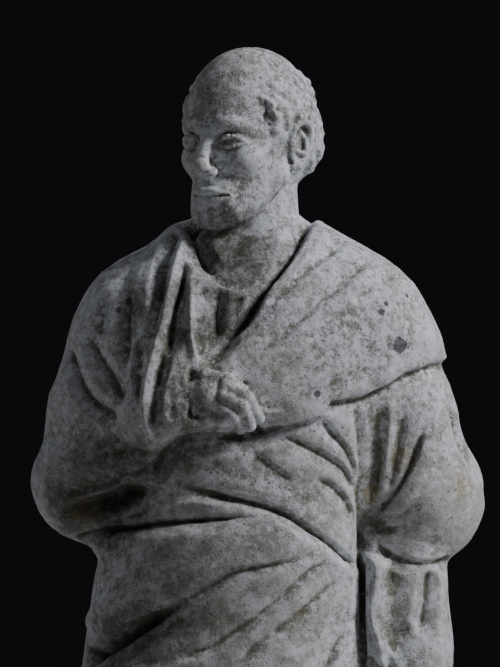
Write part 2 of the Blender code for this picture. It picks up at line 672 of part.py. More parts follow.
def side_folds():
    """Long falls on both flanks, and the slanting folds of the sleeves above them."""
    fall = {"crease": 10, "width": 11, "ends": (0.2, 0.02)}
    front = [(300, 690), (290, 820), (278, 980), (262, 1150), (256, 1384)]
    back = [(250, 640), (232, 800), (214, 960), (206, 1140), (206, 1384)]
    folds = fan(front, back, 3, lip=-4, view=RIGHT_SIDE, **fall)
    front = [(330, 560), (320, 700), (310, 900), (306, 1100), (304, 1384)]
    back = [(246, 580), (246, 780), (252, 960), (256, 1150), (258, 1384)]
    folds += fan(front, back, 3, view=LEFT_SIDE, **fall)
    sleeve = {"crease": 9, "width": 9}
    outer = [(212, 300), (222, 370), (250, 440), (284, 476)]
    inner = [(182, 300), (196, 400), (226, 480), (268, 512)]
    folds += fan(outer, inner, 2, view=RIGHT_SIDE, **sleeve)
    outer = [(266, 380), (276, 430), (300, 476), (336, 506)]
    inner = [(240, 392), (246, 450), (256, 480), (276, 506)]
    folds += fan(outer, inner, 2, view=LEFT_SIDE, **sleeve)
    return folds


def back_folds():
    """Swags that hang from shoulder to shoulder and slant more and more further down, and the hem's folds."""
    high = [(135, 306), (185, 372), (250, 405), (325, 392), (385, 340)]
    low = [(144, 900), (176, 1015), (230, 1110), (300, 1180), (370, 1215)]
    folds = fan(high, low, 7, crease=10, width=13, lip=-4, view=BACK)
    for x, top in ((186, 1130), (284, 1190), (336, 1215)):
        line = [(x, top), (x + 12, 1270), (x + 18, 1384)]
        folds.append(Stroke(line, crease=9, width=11, ends=(0.2, 0.02), view=BACK))
    return folds


# The drilled edge of the hair at the left temple
HAIR_FOLDS = [
    Stroke([(264, 98), (266, 112), (270, 131)], crease=8, width=5, ends=(0.4, 0.1)),
]

CLOTH_FOLDS = [
    *SLING_FOLDS, *BELLY_FOLDS, *LEFT_ARM_FOLDS, *CHEST_FOLDS, *skirt_folds(), *side_folds(), *back_folds()
]

# Cloth that lies over more cloth: an outline on one view, and how much it stands out
MANTLE_PANEL = [
    (312, 226), (330, 224), (348, 236), (374, 252), (420, 276), (446, 318), (462, 358), (432, 363),
    (402, 373), (384, 384), (360, 396), (330, 400), (320, 416), (298, 420), (262, 430), (246, 404),
    (222, 372), (212, 368), (228, 350), (246, 324), (262, 300), (276, 282), (292, 262), (302, 245),
]
BODY_WRAP = [
    (357, 570), (361, 604), (365, 660), (366, 760), (300, 800), (80, 800), (76, 600), (98, 540), (124, 532),
    (152, 524), (184, 520), (218, 516), (256, 515), (290, 516), (308, 523), (326, 537), (342, 552),
]
LAYERS = [(MANTLE_PANEL, 8.0, 3.0, FRONT), (BODY_WRAP, 3.5, 6.0, FRONT)]


def view_axes(view):
    """The view's direction to the right, and the direction that it looks in."""
    turn = math.radians(view)
    return np.array([math.cos(turn), math.sin(turn), 0]), np.array([-math.sin(turn), math.cos(turn), 0])


def on_elevation(points, view):
    """Grid places of points on the elevation seen from one side."""
    right, _ = view_axes(view)
    across = points @ right / UNIT + GRID_AXIS
    down = GRID_SOLE - (points[:, 2] - PLINTH_HEIGHT) / UNIT
    return np.stack([across, down], axis=1)


def drawn_on(tree, line, view):
    """A stroke's line laid on the form: its points, and the form's normals there."""
    right, ahead = view_axes(view)
    flat = smooth_curve(line, max(8, int(np.abs(np.diff(line, axis=0)).sum() / 5)))
    places, normals = [], []
    for x, y in flat:
        start = (x - GRID_AXIS) * UNIT * right - ahead
        start[2] = PLINTH_HEIGHT + (GRID_SOLE - y) * UNIT
        hit, normal, _, _ = tree.ray_cast(Vector(start), Vector(ahead))
        if hit is not None:
            places.append(hit)
            normals.append(normal)
    return np.array(places), np.array(normals)


def along(places, facing, points):
    """For each point: its distance to the line, its side (right hand positive) and its share of the way."""
    lengths = np.linalg.norm(np.diff(places, axis=0), axis=1)
    run = np.concatenate([[0], np.cumsum(lengths)])
    spread = (points**2).sum(1)[:, None] - 2 * points @ places.T + (places**2).sum(1)
    knot = spread.argmin(axis=1)
    nearest = np.full(len(points), np.inf)
    side = np.zeros(len(points))
    way = np.zeros(len(points))
    for first in (knot - 1, knot):
        i = np.clip(first, 0, len(places) - 2)
        step = places[i + 1] - places[i]
        share = np.clip(((points - places[i]) * step).sum(1) / np.maximum((step**2).sum(1), 1e-12), 0, 1)
        away = points - places[i] - share[:, None] * step
        gap = np.linalg.norm(away, axis=1)
        closer = gap < nearest
        hand = np.sign((away * np.cross(step, facing[i])).sum(1))
        nearest = np.where(closer, gap, nearest)
        side = np.where(closer, hand, side)
        way = np.where(closer, (run[i] + share * lengths[i]) / run[-1], way)
    return nearest, side, way


def carve(points, normals, strokes, tree):
    """How far each point moves out (positive) or in along its normal, for all strokes together."""
    raised, sunk = np.zeros(len(points)), np.zeros(len(points))
    for stroke in strokes:
        places, facing = drawn_on(tree, stroke.line, stroke.view)
        if len(places) < 3:
            continue
        width = stroke.width * UNIT
        reach = 2.6 * width
        box = ((points > places.min(0) - reach) & (points < places.max(0) + reach)).all(axis=1)
        local = np.flatnonzero(box)
        gap, side, way = along(places, facing, points[local])
        keep = gap < reach
        local, gap, side, way = local[keep], gap[keep], side[keep], way[keep]
        lead, trail = stroke.ends
        fade = smooth_step(way / max(lead, 1e-3)) * smooth_step((1 - way) / max(trail, 1e-3))
        narrow = CREASE_SHARE * width * (0.3 + 0.7 * fade)
        valley = 0.72 * np.clip(1 - gap / narrow, 0, 1) ** 1.5 + 0.28 * (1 - smooth_step(gap / (2.4 * width)))
        crown = stroke.ridge * 0.5 * (1 + np.cos(math.pi * np.clip(gap / width, 0, 1)))
        crown += SWELL * stroke.crease * np.sin(math.pi * np.clip(gap / width - 0.9, 0, 1.6) / 1.6) ** 2
        if stroke.lip:
            t = np.clip(gap / (2.5 * width), 0, 1)
            on_lip = side * np.sign(stroke.lip) > 0
            crown = crown + abs(stroke.lip) * on_lip * smooth_step(t / 0.25) * (1 - t) ** 2 * 1.6
        sunk[local] = np.maximum(sunk[local], stroke.crease * valley * fade)
        raised[local] = np.maximum(raised[local], crown * fade)
    return (raised - sunk) * UNIT


def inside_outline(places, outline):
    """Signed distance to a closed outline, in units, positive inside."""
    corners = np.array(outline, float)
    gap = np.full(len(places), np.inf)
    inside = np.zeros(len(places), bool)
    for a, b in zip(corners, np.roll(corners, -1, axis=0)):
        step = b - a
        share = np.clip((places - a) @ step / (step @ step), 0, 1)
        gap = np.minimum(gap, np.linalg.norm(places - a - share[:, None] * step, axis=1))
        crosses = (a[1] > places[:, 1]) != (b[1] > places[:, 1])
        rise = b[1] - a[1] if b[1] != a[1] else 1e-9
        inside ^= crosses & (places[:, 0] < a[0] + (places[:, 1] - a[1]) / rise * step[0])
    return np.where(inside, gap, -gap)


def overlay(points, normals, layers):
    """How far cloth that lies on top lifts each point."""
    lift = np.zeros(len(points))
    for outline, thick, edge, view in layers:
        _, ahead = view_axes(view)
        places = on_elevation(points, view)
        facing = smooth_step((-(normals @ ahead) + 0.25) / 0.3)
        lift += thick * smooth_step(0.5 + inside_outline(places, outline) / edge) * facing
    return lift * UNIT


# Making the meshes


def clear_scene():
    for obj in list(bpy.data.objects):
        bpy.data.objects.remove(obj)


def collection_named(name):
    made = bpy.data.collections.new(name)
    bpy.context.scene.collection.children.link(made)
    return made


def marble():
    material = bpy.data.materials.new("weathered_marble")
    material.use_nodes = True
    shader = material.node_tree.nodes["Principled BSDF"]
    shader.inputs["Base Color"].default_value = MARBLE_COLOUR
    shader.inputs["Roughness"].default_value = MARBLE_ROUGHNESS
    shader.inputs["Metallic"].default_value = 0.0
    return material


def evaluated_mesh(obj):
    """The object's mesh with its modifiers applied, and the modifiers gone."""
    graph = bpy.context.evaluated_depsgraph_get()
    made = bpy.data.meshes.new_from_object(obj.evaluated_get(graph))
    obj.modifiers.clear()
    obj.data = made
    return made


def remesh(obj, cell):
    modifier = obj.modifiers.new("cells", "REMESH")
    modifier.mode = "VOXEL"
    modifier.voxel_size = cell
    modifier.adaptivity = 0
    return evaluated_mesh(obj)


def points_of(mesh):
    flat = np.empty(len(mesh.vertices) * 3, np.float32)
    mesh.vertices.foreach_get("co", flat)
    return flat.reshape(-1, 3).astype(float)


def normals_of(mesh):
    flat = np.empty(len(mesh.vertices) * 3, np.float32)
    mesh.vertex_normals.foreach_get("vector", flat)
    return flat.reshape(-1, 3).astype(float)


def set_points(mesh, points):
    mesh.vertices.foreach_set("co", points.astype(np.float32).ravel())
    mesh.update()


def snap_to_form(mesh, rounds):
    """Moves the mesh's points along their normals on to the figure's surface."""
    for _ in range(rounds):
        points, normals = points_of(mesh), normals_of(mesh)
        gap = np.clip(figure_distance(points), -0.8 * ROUGH_CELL, 0.8 * ROUGH_CELL)
        set_points(mesh, points - gap[:, None] * normals)


def rough_block(collection):
    """All the simple forms in one mesh, as a block roughed out."""
    turns = np.linspace(0, 2 * math.pi, RING_POINTS, endpoint=False)[:, None]
    corners, faces = [], []
    for form in SOLID_FORMS:
        first = len(corners)
        for centre, wide, deep in form.rings():
            corners.extend(centre + np.cos(turns) * wide + np.sin(turns) * deep)
        last = len(corners) - RING_POINTS
        for start in range(first, last, RING_POINTS):
            for i in range(RING_POINTS):
                j = (i + 1) % RING_POINTS
                faces.append((start + i, start + j, start + RING_POINTS + j, start + RING_POINTS + i))
        faces.append(tuple(range(first + RING_POINTS - 1, first - 1, -1)))
        faces.append(tuple(range(last, last + RING_POINTS)))
    data = bpy.data.meshes.new("orator_statue")
    data.from_pydata([tuple(corner) for corner in corners], [], faces)
    obj = bpy.data.objects.new("orator_statue", data)
    collection.objects.link(obj)
    return obj


def carved_figure(collection, cell):
    """The figure worked to that fineness, with its folds."""
    obj = rough_block(collection)
    snap_to_form(remesh(obj, ROUGH_CELL), 2)
    mesh = remesh(obj, cell)
    snap_to_form(mesh, 2)
    points, normals = points_of(mesh), normals_of(mesh)
    tree = BVHTree.FromObject(obj, bpy.context.evaluated_depsgraph_get())
    moved = carve(points, normals, CLOTH_FOLDS, tree) + overlay(points, normals, LAYERS)
    bare = np.minimum(join(HAND_FORMS, points, UNIT), join(SKULL_FORMS, points, UNIT))
    moved *= smooth_step((bare - 1.5 * UNIT) / (4 * UNIT))
    moved += carve(points, normals, HAIR_FOLDS, tree)
    set_points(mesh, points + moved[:, None] * normals)
    return obj


def fewer_faces(obj, triangles):
    """Leaves that many triangles, more of them on the head and the hand than elsewhere."""
    mesh = obj.data
    points = points_of(mesh)
    bare = np.minimum(join(HAND_FORMS, points, UNIT), join(SKULL_FORMS, points, UNIT))
    group = obj.vertex_groups.new(name="cloth")
    group.add(np.flatnonzero(bare > REACH / 2).tolist(), 1.0, "REPLACE")
    group.add(np.flatnonzero(bare <= REACH / 2).tolist(), 0.5, "REPLACE")
    count = sum(len(face.vertices) - 2 for face in mesh.polygons)
    modifier = obj.modifiers.new("fewer", "DECIMATE")
    modifier.vertex_group = group.name
    modifier.vertex_group_factor = BARE_CARE
    modifier.ratio = triangles / count
    modifier.use_collapse_triangulate = True
    return evaluated_mesh(obj)


def plinth(collection):
    """A low slab with rounded corners, flat below."""
    mesh = bmesh.new()
    bmesh.ops.create_cube(
        mesh, size=1,
        matrix=Matrix.Translation((0, 0, PLINTH_HEIGHT / 2))
        @ Matrix.Diagonal((PLINTH_WIDTH, PLINTH_DEPTH, PLINTH_HEIGHT, 1)),
    )
    upright = [e for e in mesh.edges if abs(e.verts[0].co.z - e.verts[1].co.z) > PLINTH_HEIGHT / 2]
    bmesh.ops.bevel(mesh, geom=upright, offset=PLINTH_CORNER, segments=5, affect="EDGES", profile=0.5)
    top = [e for e in mesh.edges if min(v.co.z for v in e.verts) > PLINTH_HEIGHT * 0.99]
    bmesh.ops.bevel(mesh, geom=top, offset=PLINTH_EDGE, segments=2, affect="EDGES", profile=0.5)
    data = bpy.data.meshes.new("plinth_block")
    mesh.to_mesh(data)
    mesh.free()
    obj = bpy.data.objects.new("plinth_block", data)
    collection.objects.link(obj)
    obj.hide_render = True
    obj.display_type = "WIRE"
    return obj


def main():
    clear_scene()
    statue = collection_named("orator_statue")
    helpers = collection_named("helpers")
    figure = carved_figure(statue, FINE_CELL)
    remesh(figure, FINE_CELL)
    fewer_faces(figure, FIGURE_TRIANGLES)
    block = plinth(helpers)
    union = figure.modifiers.new("plinth", "BOOLEAN")
    union.operation = "UNION"
    union.solver = "EXACT"
    union.object = block
    figure.data.materials.clear()
    figure.data.materials.append(marble())
    return figure


if __name__ == "__main__":
    main()
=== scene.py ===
"""The marble orator's fine surface, its weathered stone with shade painted into its folds, the floor, the
lights and the camera.

Everything is in metres, +Z up, in the frame of the part: the figure faces -Y and the origin is at the middle
of the plinth's underside. The figure's forms and folds are worked out from the same named sizes as its solid.
"""

from math import cos, pi, radians, sin, sqrt

import bmesh
import bpy
import numpy as np
from mathutils import Matrix, Vector
from mathutils.bvhtree import BVHTree


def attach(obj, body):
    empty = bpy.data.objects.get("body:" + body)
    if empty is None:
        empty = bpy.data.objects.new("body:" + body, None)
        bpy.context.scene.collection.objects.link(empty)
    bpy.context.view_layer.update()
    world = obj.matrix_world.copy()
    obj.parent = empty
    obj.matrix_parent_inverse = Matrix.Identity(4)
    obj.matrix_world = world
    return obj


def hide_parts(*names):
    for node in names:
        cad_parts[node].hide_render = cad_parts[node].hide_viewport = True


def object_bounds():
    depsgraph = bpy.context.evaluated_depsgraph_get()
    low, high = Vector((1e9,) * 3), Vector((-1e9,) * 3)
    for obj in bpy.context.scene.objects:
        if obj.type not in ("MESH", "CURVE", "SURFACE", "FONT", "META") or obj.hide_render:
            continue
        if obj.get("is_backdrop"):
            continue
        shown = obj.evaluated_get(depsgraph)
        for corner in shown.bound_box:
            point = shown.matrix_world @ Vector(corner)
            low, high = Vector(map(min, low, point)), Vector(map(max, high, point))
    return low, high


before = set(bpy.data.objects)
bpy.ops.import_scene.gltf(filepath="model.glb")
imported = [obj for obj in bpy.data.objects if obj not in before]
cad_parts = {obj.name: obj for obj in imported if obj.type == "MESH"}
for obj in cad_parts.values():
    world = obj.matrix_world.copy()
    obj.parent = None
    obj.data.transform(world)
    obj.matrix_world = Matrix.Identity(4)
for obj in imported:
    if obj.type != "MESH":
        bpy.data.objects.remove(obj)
solid_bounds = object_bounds()

# Driving dimensions
FIGURE_HEIGHT = 1.740
PLINTH_WIDTH = 0.640
PLINTH_DEPTH = 0.500
PLINTH_HEIGHT = 0.095
PLINTH_CORNER = 0.060
PLINTH_EDGE = 0.006

# The carver's grid lies on the front view. x grows to the viewer's right, y grows downwards, and the
# figure's middle, its crown and its soles are at these places.
GRID_AXIS = 252.0
GRID_CROWN = 47.0
GRID_SOLE = 1385.0
UNIT = FIGURE_HEIGHT / (GRID_SOLE - GRID_CROWN)
MILLIMETRE = FIGURE_HEIGHT / 1740

# How fine the block is worked, and how many faces are left
ROUGH_CELL = 0.012
REACH = 0.020
SWELL = 0.12
CREASE_SHARE, SHARP_SHARE = 0.62, 0.52
RING_POINTS = 16

# The fine skin
SKIN_CELL = 0.0026
CLOTH_TRIANGLES, BARE_TRIANGLES = 136000, 58000
BARE_NECK = 238
SNAP_STEP = 0.004
# The edge of the hair: at each height on the head, how many degrees round from the face it starts
HAIR_LINE = [
    (-120, 175), (-70, 150), (-45, 118), (-20, 74), (0, 68), (20, 56), (45, 46), (70, 50), (95, 60), (130, 20),
]
HAIR_REACH = 0.16
STRAND_WIDTH, STRAND_DEPTH = 0.0055, 0.0011
WORN_LAYERS = [(0.060, 0.0014, 11), (0.022, 0.0008, 23), (0.009, 0.0003, 37)]
PIT_SIZE, PIT_DEPTH = 0.0065, 0.0015
CHIP_SIZE, CHIP_DEPTH = 0.034, 0.0030
LATTICE_STEPS = np.array([73856093, 19349663, 83492791])
LATTICE_MIX, LATTICE_TOP = 1274126177, 0x7FFFFFFFFFFF
NEAR_HOLLOW, WIDE_HOLLOW = 0.0014, 0.015
SHELTER_RAYS, SHELTER_REACH, RAY_GAP = 22, 0.16, 0.004

# Colours of the stone, its dirt, its growth, and the shade painted into its folds and hollows
CLEAN_MARBLE = (0.70, 0.725, 0.785, 1)
GREY_MARBLE = (0.34, 0.34, 0.345, 1)
WARM_MARBLE = (0.37, 0.345, 0.30, 1)
DULL_MARBLE = (0.185, 0.175, 0.15, 1)
RUBBED_MARBLE = (0.70, 0.71, 0.73, 1)
# Olive and dark colours painted in creases and where the statue shades itself: grime with painted shade
OLIVE_GRIME_AND_SHADE = (0.145, 0.142, 0.088, 1)
DARK_GRIME_AND_SHADE = (0.034, 0.031, 0.022, 1)
SPECK = (0.085, 0.085, 0.085, 1)
PALE_LICHEN = (0.80, 0.82, 0.85, 1)
DARK_LICHEN = (0.050, 0.050, 0.055, 1)
OCHRE = (0.34, 0.27, 0.145, 1)
# A dark brownish colour painted as shade, with some real grime, on the spots listed below
DEEP_SHADE_AND_GRIME = (0.070, 0.065, 0.050, 1)
# Each spot is a grid place, a radius in units and a strength
LICHEN_DISCS = [
    (399, 345, 8, 0.9), (380, 312, 3.6, 0.9), (385, 304, 2.8, 0.9), (406, 296, 2.4, 0.9),
    (120, 310, 3.2, 0.9), (130, 302, 4, 0.9), (316, 393, 3.5, 0.9),
]
# Spots of painted shade with some dark grime, where the chin, the folds and the arms shade the stone: neck,
# chest, sling, elbow hollow, lower left
SHADE_AND_GRIME_PLACES = [
    (236, 250, 32, 0.85), (252, 264, 24, 0.7), (230, 312, 26, 0.85), (214, 332, 18, 0.85),
    (206, 262, 16, 0.85), (176, 398, 28, 0.9), (172, 342, 22, 0.85), (176, 296, 16, 0.85),
    (186, 448, 22, 0.9), (136, 300, 20, 0.6), (108, 510, 44, 0.9), (100, 462, 26, 0.8), (140, 462, 28, 0.9),
    (64, 500, 24, 0.7), (126, 646, 46, 0.9), (376, 520, 12, 0.7), (212, 84, 34, 0.35), (190, 600, 80, 0.45),
    (260, 540, 36, 0.25), (190, 420, 12, 0.9),
]
OCHRE_STAINS = [(463, 485, 13, 0.8), (398, 455, 9, 0.8), (370, 492, 9, 0.8), (85, 515, 14, 0.8)]

# Noise in the stone: scale, detail, roughness and distortion
BROAD, PATCHY, BLOTCH = (4.5, 3, 0.55), (24, 5, 0.6, 0.3), (62, 4, 0.6, 0.4)
MOTTLE, GRAIN, RAGGED = (120, 5, 0.65), (390, 4, 0.68), (160, 3)
# Cells a metre, the share of them that hold a patch, and its largest radius in cells
PALE_PATCHES, SMALL_PALE_PATCHES, DARK_PATCHES = (62, 0.62, 0.40), (115, 0.5, 0.42), (190, 0.13, 0.30)
PIT_SCALE, BUMP_DEPTH, BUMP_STRENGTH = 190, 0.0022, 0.6

# Floor, lights and camera
FLOOR_SIZE, FLOOR_GAP = 14.0, 0.0005
FLOOR_PALE, FLOOR_WARM = (0.60, 0.60, 0.59, 1), (0.57, 0.565, 0.55, 1)
WORLD_COLOUR, WORLD_STRENGTH = (0.30, 0.31, 0.38, 1), 0.016
CHEST_HEIGHT = 1.30
LIGHTS = [
    ("key", (3.75, -1.35, 4.3), 1.3, 212.0, (0.975, 0.98, 1.0)),
    ("fill", (-2.5, -1.3, 4.8), 2.6, 10.0, (0.92, 0.95, 1.0)),
    ("back", (0.4, 4.2, 2.4), 2.2, 60.0, (1.0, 1.0, 1.0)),
    ("side", (-4.3, 1.3, 2.4), 2.4, 16.0, (0.95, 0.97, 1.0)),
]
CAMERA_DISTANCE = 8.0
PICTURE_ROWS, PICTURE_MIDDLE_X, PICTURE_MIDDLE_Y = 667, 250.0, 333.5

FRONT, RIGHT_SIDE, BACK, LEFT_SIDE = 0.0, 270.0, 180.0, 90.0


def at(x, y, depth=0.0):
    """The point at grid place (x, y), that many units behind the figure's middle plane."""
    return np.array([(x - GRID_AXIS) * UNIT, depth * UNIT, PLINTH_HEIGHT + (GRID_SOLE - y) * UNIT])


def smooth_step(t):
    t = np.clip(t, 0, 1)
    return t * t * (3 - 2 * t)


def smooth_curve(knots, count):
    """That many points on a smooth curve through the knots, spaced evenly along it."""
    knots = np.array(knots, float)
    if len(knots) == 2:
        return knots[0] + np.linspace(0, 1, count)[:, None] * (knots[1] - knots[0])
    ends = np.vstack([2 * knots[0] - knots[1], knots, 2 * knots[-1] - knots[-2]])
    pieces = []
    for a, b, c, d in zip(ends, ends[1:], ends[2:], ends[3:]):
        t = np.linspace(0, 1, 12, endpoint=False)[:, None]
        bend = 2 * a - 5 * b + 4 * c - d + (3 * b - a - 3 * c + d) * t
        pieces.append(b + 0.5 * t * (c - a + t * bend))
    points = np.vstack([*pieces, knots[-1:]])
    run = np.concatenate([[0], np.cumsum(np.linalg.norm(np.diff(points, axis=0), axis=1))])
    even = np.linspace(0, run[-1], count)
    return np.stack([np.interp(even, run, column) for column in points.T], axis=1)


# Simple forms. Each gives a signed distance, below 0 inside, and rings for a rough mesh of itself.


class Form:
    """What all forms share: the box that they fill. Their rings are centres with two half axes each."""

    low, high = np.zeros(3), np.zeros(3)

    def near(self, points, margin):
        """Which points lie in the form's box or within the margin of it."""
        return ((points > self.low - margin) & (points < self.high + margin)).all(axis=1)


class Blob(Form):
    """An ellipsoid, turned about the upright axis."""

    def __init__(self, centre, radii, turn=0.0):
        self.centre = np.array(centre)
        self.radii = np.array(radii)
        self.turn = radians(turn)
        self.low = self.centre - self.radii.max()
        self.high = self.centre + self.radii.max()

    def distance(self, points):
        c, s = cos(self.turn), sin(self.turn)
        local = (points - self.centre) @ np.array([[c, -s, 0], [s, c, 0], [0, 0, 1]])
        near = np.linalg.norm(local / self.radii, axis=1) + 1e-9
        far = np.linalg.norm(local / self.radii**2, axis=1) + 1e-9
        return near * (near - 1) / far

    def rings(self):
        c, s = cos(self.turn), sin(self.turn)
        for tilt in np.linspace(-1.4, 1.4, 9):
            wide = cos(tilt) * self.radii[0] * np.array([c, s, 0])
            deep = cos(tilt) * self.radii[1] * np.array([-s, c, 0])
            yield self.centre + np.array([0, 0, sin(tilt) * self.radii[2]]), wide, deep


class Limb(Form):
    """A round bar from start to end, with a radius at each."""

    def __init__(self, start, end, start_radius, end_radius):
        self.start, self.end = np.array(start), np.array(end)
        self.start_radius, self.end_radius = start_radius, end_radius
        thick = max(start_radius, end_radius)
        self.low = np.minimum(self.start, self.end) - thick
        self.high = np.maximum(self.start, self.end) + thick

    def distance(self, points):
        run = self.end - self.start
        share = np.clip((points - self.start) @ run / (run @ run), 0, 1)
        reach = np.linalg.norm(points - self.start - share[:, None] * run, axis=1)
        return reach - (self.start_radius + share * (self.end_radius - self.start_radius))

    def rings(self):
        along_it = (self.end - self.start) / np.linalg.norm(self.end - self.start)
        across = np.cross(along_it, np.eye(3)[np.abs(along_it).argmin()])
        across /= np.linalg.norm(across)
        over = np.cross(along_it, across)
        for place, radius, tilts in (
            (self.start, self.start_radius, np.linspace(-1.4, 0, 4)),
            (self.end, self.end_radius, np.linspace(0, 1.4, 4)),
        ):
            for tilt in tilts:
                reach = radius * cos(tilt)
                yield place + radius * sin(tilt) * along_it, reach * across, reach * over


class Column(Form):
    """A loft between level ovals. A row is a height y, a middle x and depth, a half width and half depth."""

    def __init__(self, rows, power=2.0):
        self.rows = smooth_curve(rows, 60)
        self.rows = self.rows[np.argsort(self.rows[:, 0])]
        self.power = power
        y, x, depth, wide, deep = self.rows.T
        self.low = at((x - wide).min(), y.max(), (depth - deep).min())
        self.high = at((x + wide).max(), y.min(), (depth + deep).max())

    def section(self, height):
        """Middle x and y and the half sizes at each height above the origin, in metres."""
        y = GRID_SOLE - (height - PLINTH_HEIGHT) / UNIT
        found = [np.interp(y, self.rows[:, 0], self.rows[:, k]) * UNIT for k in range(1, 5)]
        return found[0] - GRID_AXIS * UNIT, found[1], found[2], found[3]

    def distance(self, points):
        mid_x, mid_y, wide, deep = self.section(points[:, 2])
        x, y = np.abs(points[:, 0] - mid_x), np.abs(points[:, 1] - mid_y)
        near = ((x / wide) ** self.power + (y / deep) ** self.power) ** (1 / self.power) + 1e-9
        far = np.sqrt((x / wide**2) ** 2 + (y / deep**2) ** 2) + 1e-9
        side = (near - 1) * np.minimum(near / far, 2 * wide)
        return np.maximum(side, np.maximum(points[:, 2] - self.high[2], self.low[2] - points[:, 2]))

    def rings(self):
        for y, x, depth, wide, deep in self.rows:
            yield at(x, y, depth), np.array([wide * UNIT, 0, 0]), np.array([0, deep * UNIT, 0])


def blob(place, *half_axes):
    """An ellipsoid at a grid place, its half axes in units."""
    return Blob(at(*place), np.array(half_axes) * UNIT)


def bar(start, end, start_radius, end_radius):
    """A round bar between two grid places, its radii in units."""
    return Limb(at(*start), at(*end), start_radius * UNIT, end_radius * UNIT)


def blend_of(first, second, blend):
    """The smaller of two distances, with a fillet of about that size between them."""
    share = np.clip(0.5 + 0.5 * (second - first) / blend, 0, 1)
    return second * (1 - share) + first * share - blend * share * (1 - share)


def add(joined, forms, points, blend, sign=1):
    """Joins forms to what is there, or takes them away. Far from every form the distance stays as it was."""
    for form in forms:
        near = np.flatnonzero(form.near(points, blend + REACH))
        if len(near):
            joined[near] = sign * blend_of(sign * joined[near], form.distance(points[near]), blend)
    return joined


def join(forms, points, blend):
    return add(np.ones(len(points)), forms, points, blend)


# The figure's masses


def trunk_and_mantle():
    """The body under the mantle from the neck to the hem, with the hip out over the standing leg."""
    body = Column([
        (210, 248, 10, 42, 38), (226, 248, 10, 66, 46), (244, 248, 8, 96, 58), (264, 248, 6, 124, 70),
        (290, 248, 2, 148, 82), (350, 248, -3, 154, 94), (400, 246, -4, 146, 98), (460, 243, -2, 134, 95),
        (520, 236, 0, 128, 92), (570, 231, 2, 131, 97), (640, 226, 4, 137, 105), (740, 225, 4, 143, 108),
        (900, 228, 0, 140, 102), (1080, 234, -4, 130, 98), (1230, 240, -6, 126, 98),
        (1322, 242, -6, 128, 100),
    ], power=2.2)
    behind_feet = Column([(1290, 243, 24, 126, 72), (1399, 243, 26, 132, 74)], power=2.3)
    return [
        body,
        behind_feet,
        blob((196, 395, -28), 70, 62, 80),
        blob((232, 560, -22), 104, 80, 90),
        bar((298, 760, -34), (300, 985, -58), 66, 54),
        bar((300, 985, -58), (318, 1270, -6), 54, 48),
    ]


def arms():
    """Both arms under the mantle: the right one bent up to the chest, the left one bent back to the hip."""
    return [
        bar((145, 320, 4), (95, 480, 2), 59, 57),
        blob((131, 350, 2), 58, 55, 60),
        blob((111, 412, 2), 58, 52, 52),
        bar((94, 482, 0), (194, 412, -78), 54, 35),
        bar((352, 322, 6), (418, 488, 16), 58, 57),
        blob((372, 352, 6), 60, 55, 58),
        blob((394, 414, 10), 58, 52, 52),
        blob((423, 509, 26), 54, 58, 52),
        bar((418, 494, 18), (340, 570, 92), 55, 38),
        bar((184, 246, -24), (158, 410, -66), 22, 38),
        bar((177, 318, -66), (171, 408, -98), 15, 26),
    ]


def hanging_end():
    """The end of the mantle that falls from the left forearm, close against the body."""
    end = Column([
        (538, 402, 14, 42, 46), (600, 403, 16, 46, 52), (668, 403, 18, 50, 56), (800, 394, 24, 42, 52),
        (960, 386, 28, 34, 46), (1100, 374, 28, 28, 40), (1190, 366, 28, 16, 26),
    ], power=2.4)
    return [end, bar((370, 540, -4), (366, 780, -8), 21, 22)]


HEAD_TURN = -34.0
HEAD_NOD = 4.0
HEAD_PLACE = (246, 144, -4)


def head_point(x, y, z):
    """A point of the head, in its own millimetres: x to its left, y backwards, z up from the ears' middle."""
    turn, nod = radians(HEAD_TURN), radians(HEAD_NOD)
    y, z = y * cos(nod) - z * sin(nod), y * sin(nod) + z * cos(nod)
    x, y = x * cos(turn) - y * sin(turn), x * sin(turn) + y * cos(turn)
    return at(*HEAD_PLACE) + np.array([x, y, z]) * MILLIMETRE


def head_blob(x, y, z, *radii):
    return Blob(head_point(x, y, z), np.array(radii) * MILLIMETRE, HEAD_TURN)


def head_limb(start, end, start_radius, end_radius):
    return Limb(head_point(*start), head_point(*end), start_radius * MILLIMETRE, end_radius * MILLIMETRE)


def head_bows(places, radius):
    """A bar of that radius bent through several places of the head, on its right side and on its left."""
    knots = smooth_curve(places, 2 * len(places))
    sides = [knots * np.array([side, 1, 1]) for side in (-1, 1)]
    return [head_limb(a, b, radius, radius) for bow in sides for a, b in zip(bow, bow[1:])]


def both_sides(make):
    """The forms that make gives for the right side of the head and for its left."""
    return [*make(-1), *make(1)]


def neck():
    return [bar((250, 248, 10), (251, 176, 10), 51, 45)]


def skull():
    """The bald skull, the broad planes of the face and the jaw."""
    return [
        head_blob(0, 12, 34, 77, 96, 91),
        head_blob(0, -26, -6, 62, 62, 84),
        head_blob(0, -42, -70, 45, 42, 36),
        head_blob(0, -76, -93, 22, 17, 16),
        head_blob(0, 34, 2, 80, 74, 62),
        *both_sides(lambda side: [head_limb((side * 56, -12, -40), (side * 27, -70, -86), 16, 13)]),
        *both_sides(lambda side: [head_blob(side * 37, -58, -17, 20, 20, 17)]),
    ]


def brow_and_nose():
    """The brow ridge, the nose and the round of the mouth."""
    return [
        head_limb((0, -84, 17), (0, -106, -22), 6, 8),
        head_limb((0, -105, -25), (0, -94, -34), 9, 8),
        head_blob(0, -79, -60, 29, 16, 20),
        *head_bows([(6, -82, 25), (28, -80, 30), (49, -61, 23)], 5.5),
    ]


def eye_hollows():
    return both_sides(lambda side: [head_blob(side * 30, -97, 8, 20, 20, 13)])


def eyes():
    """The balls of the eyes and their lids."""
    return [
        *both_sides(lambda side: [head_blob(side * 31, -69.5, 7, 15, 13.5, 13)]),
        *head_bows([(15, -78, 5), (24, -84, 12), (37, -82.5, 12.5), (48, -71, 5)], 2.5),
        *head_bows([(15, -78, 4), (25, -82.5, 0), (37, -81, 0), (48, -71, 4)], 2.1),
    ]


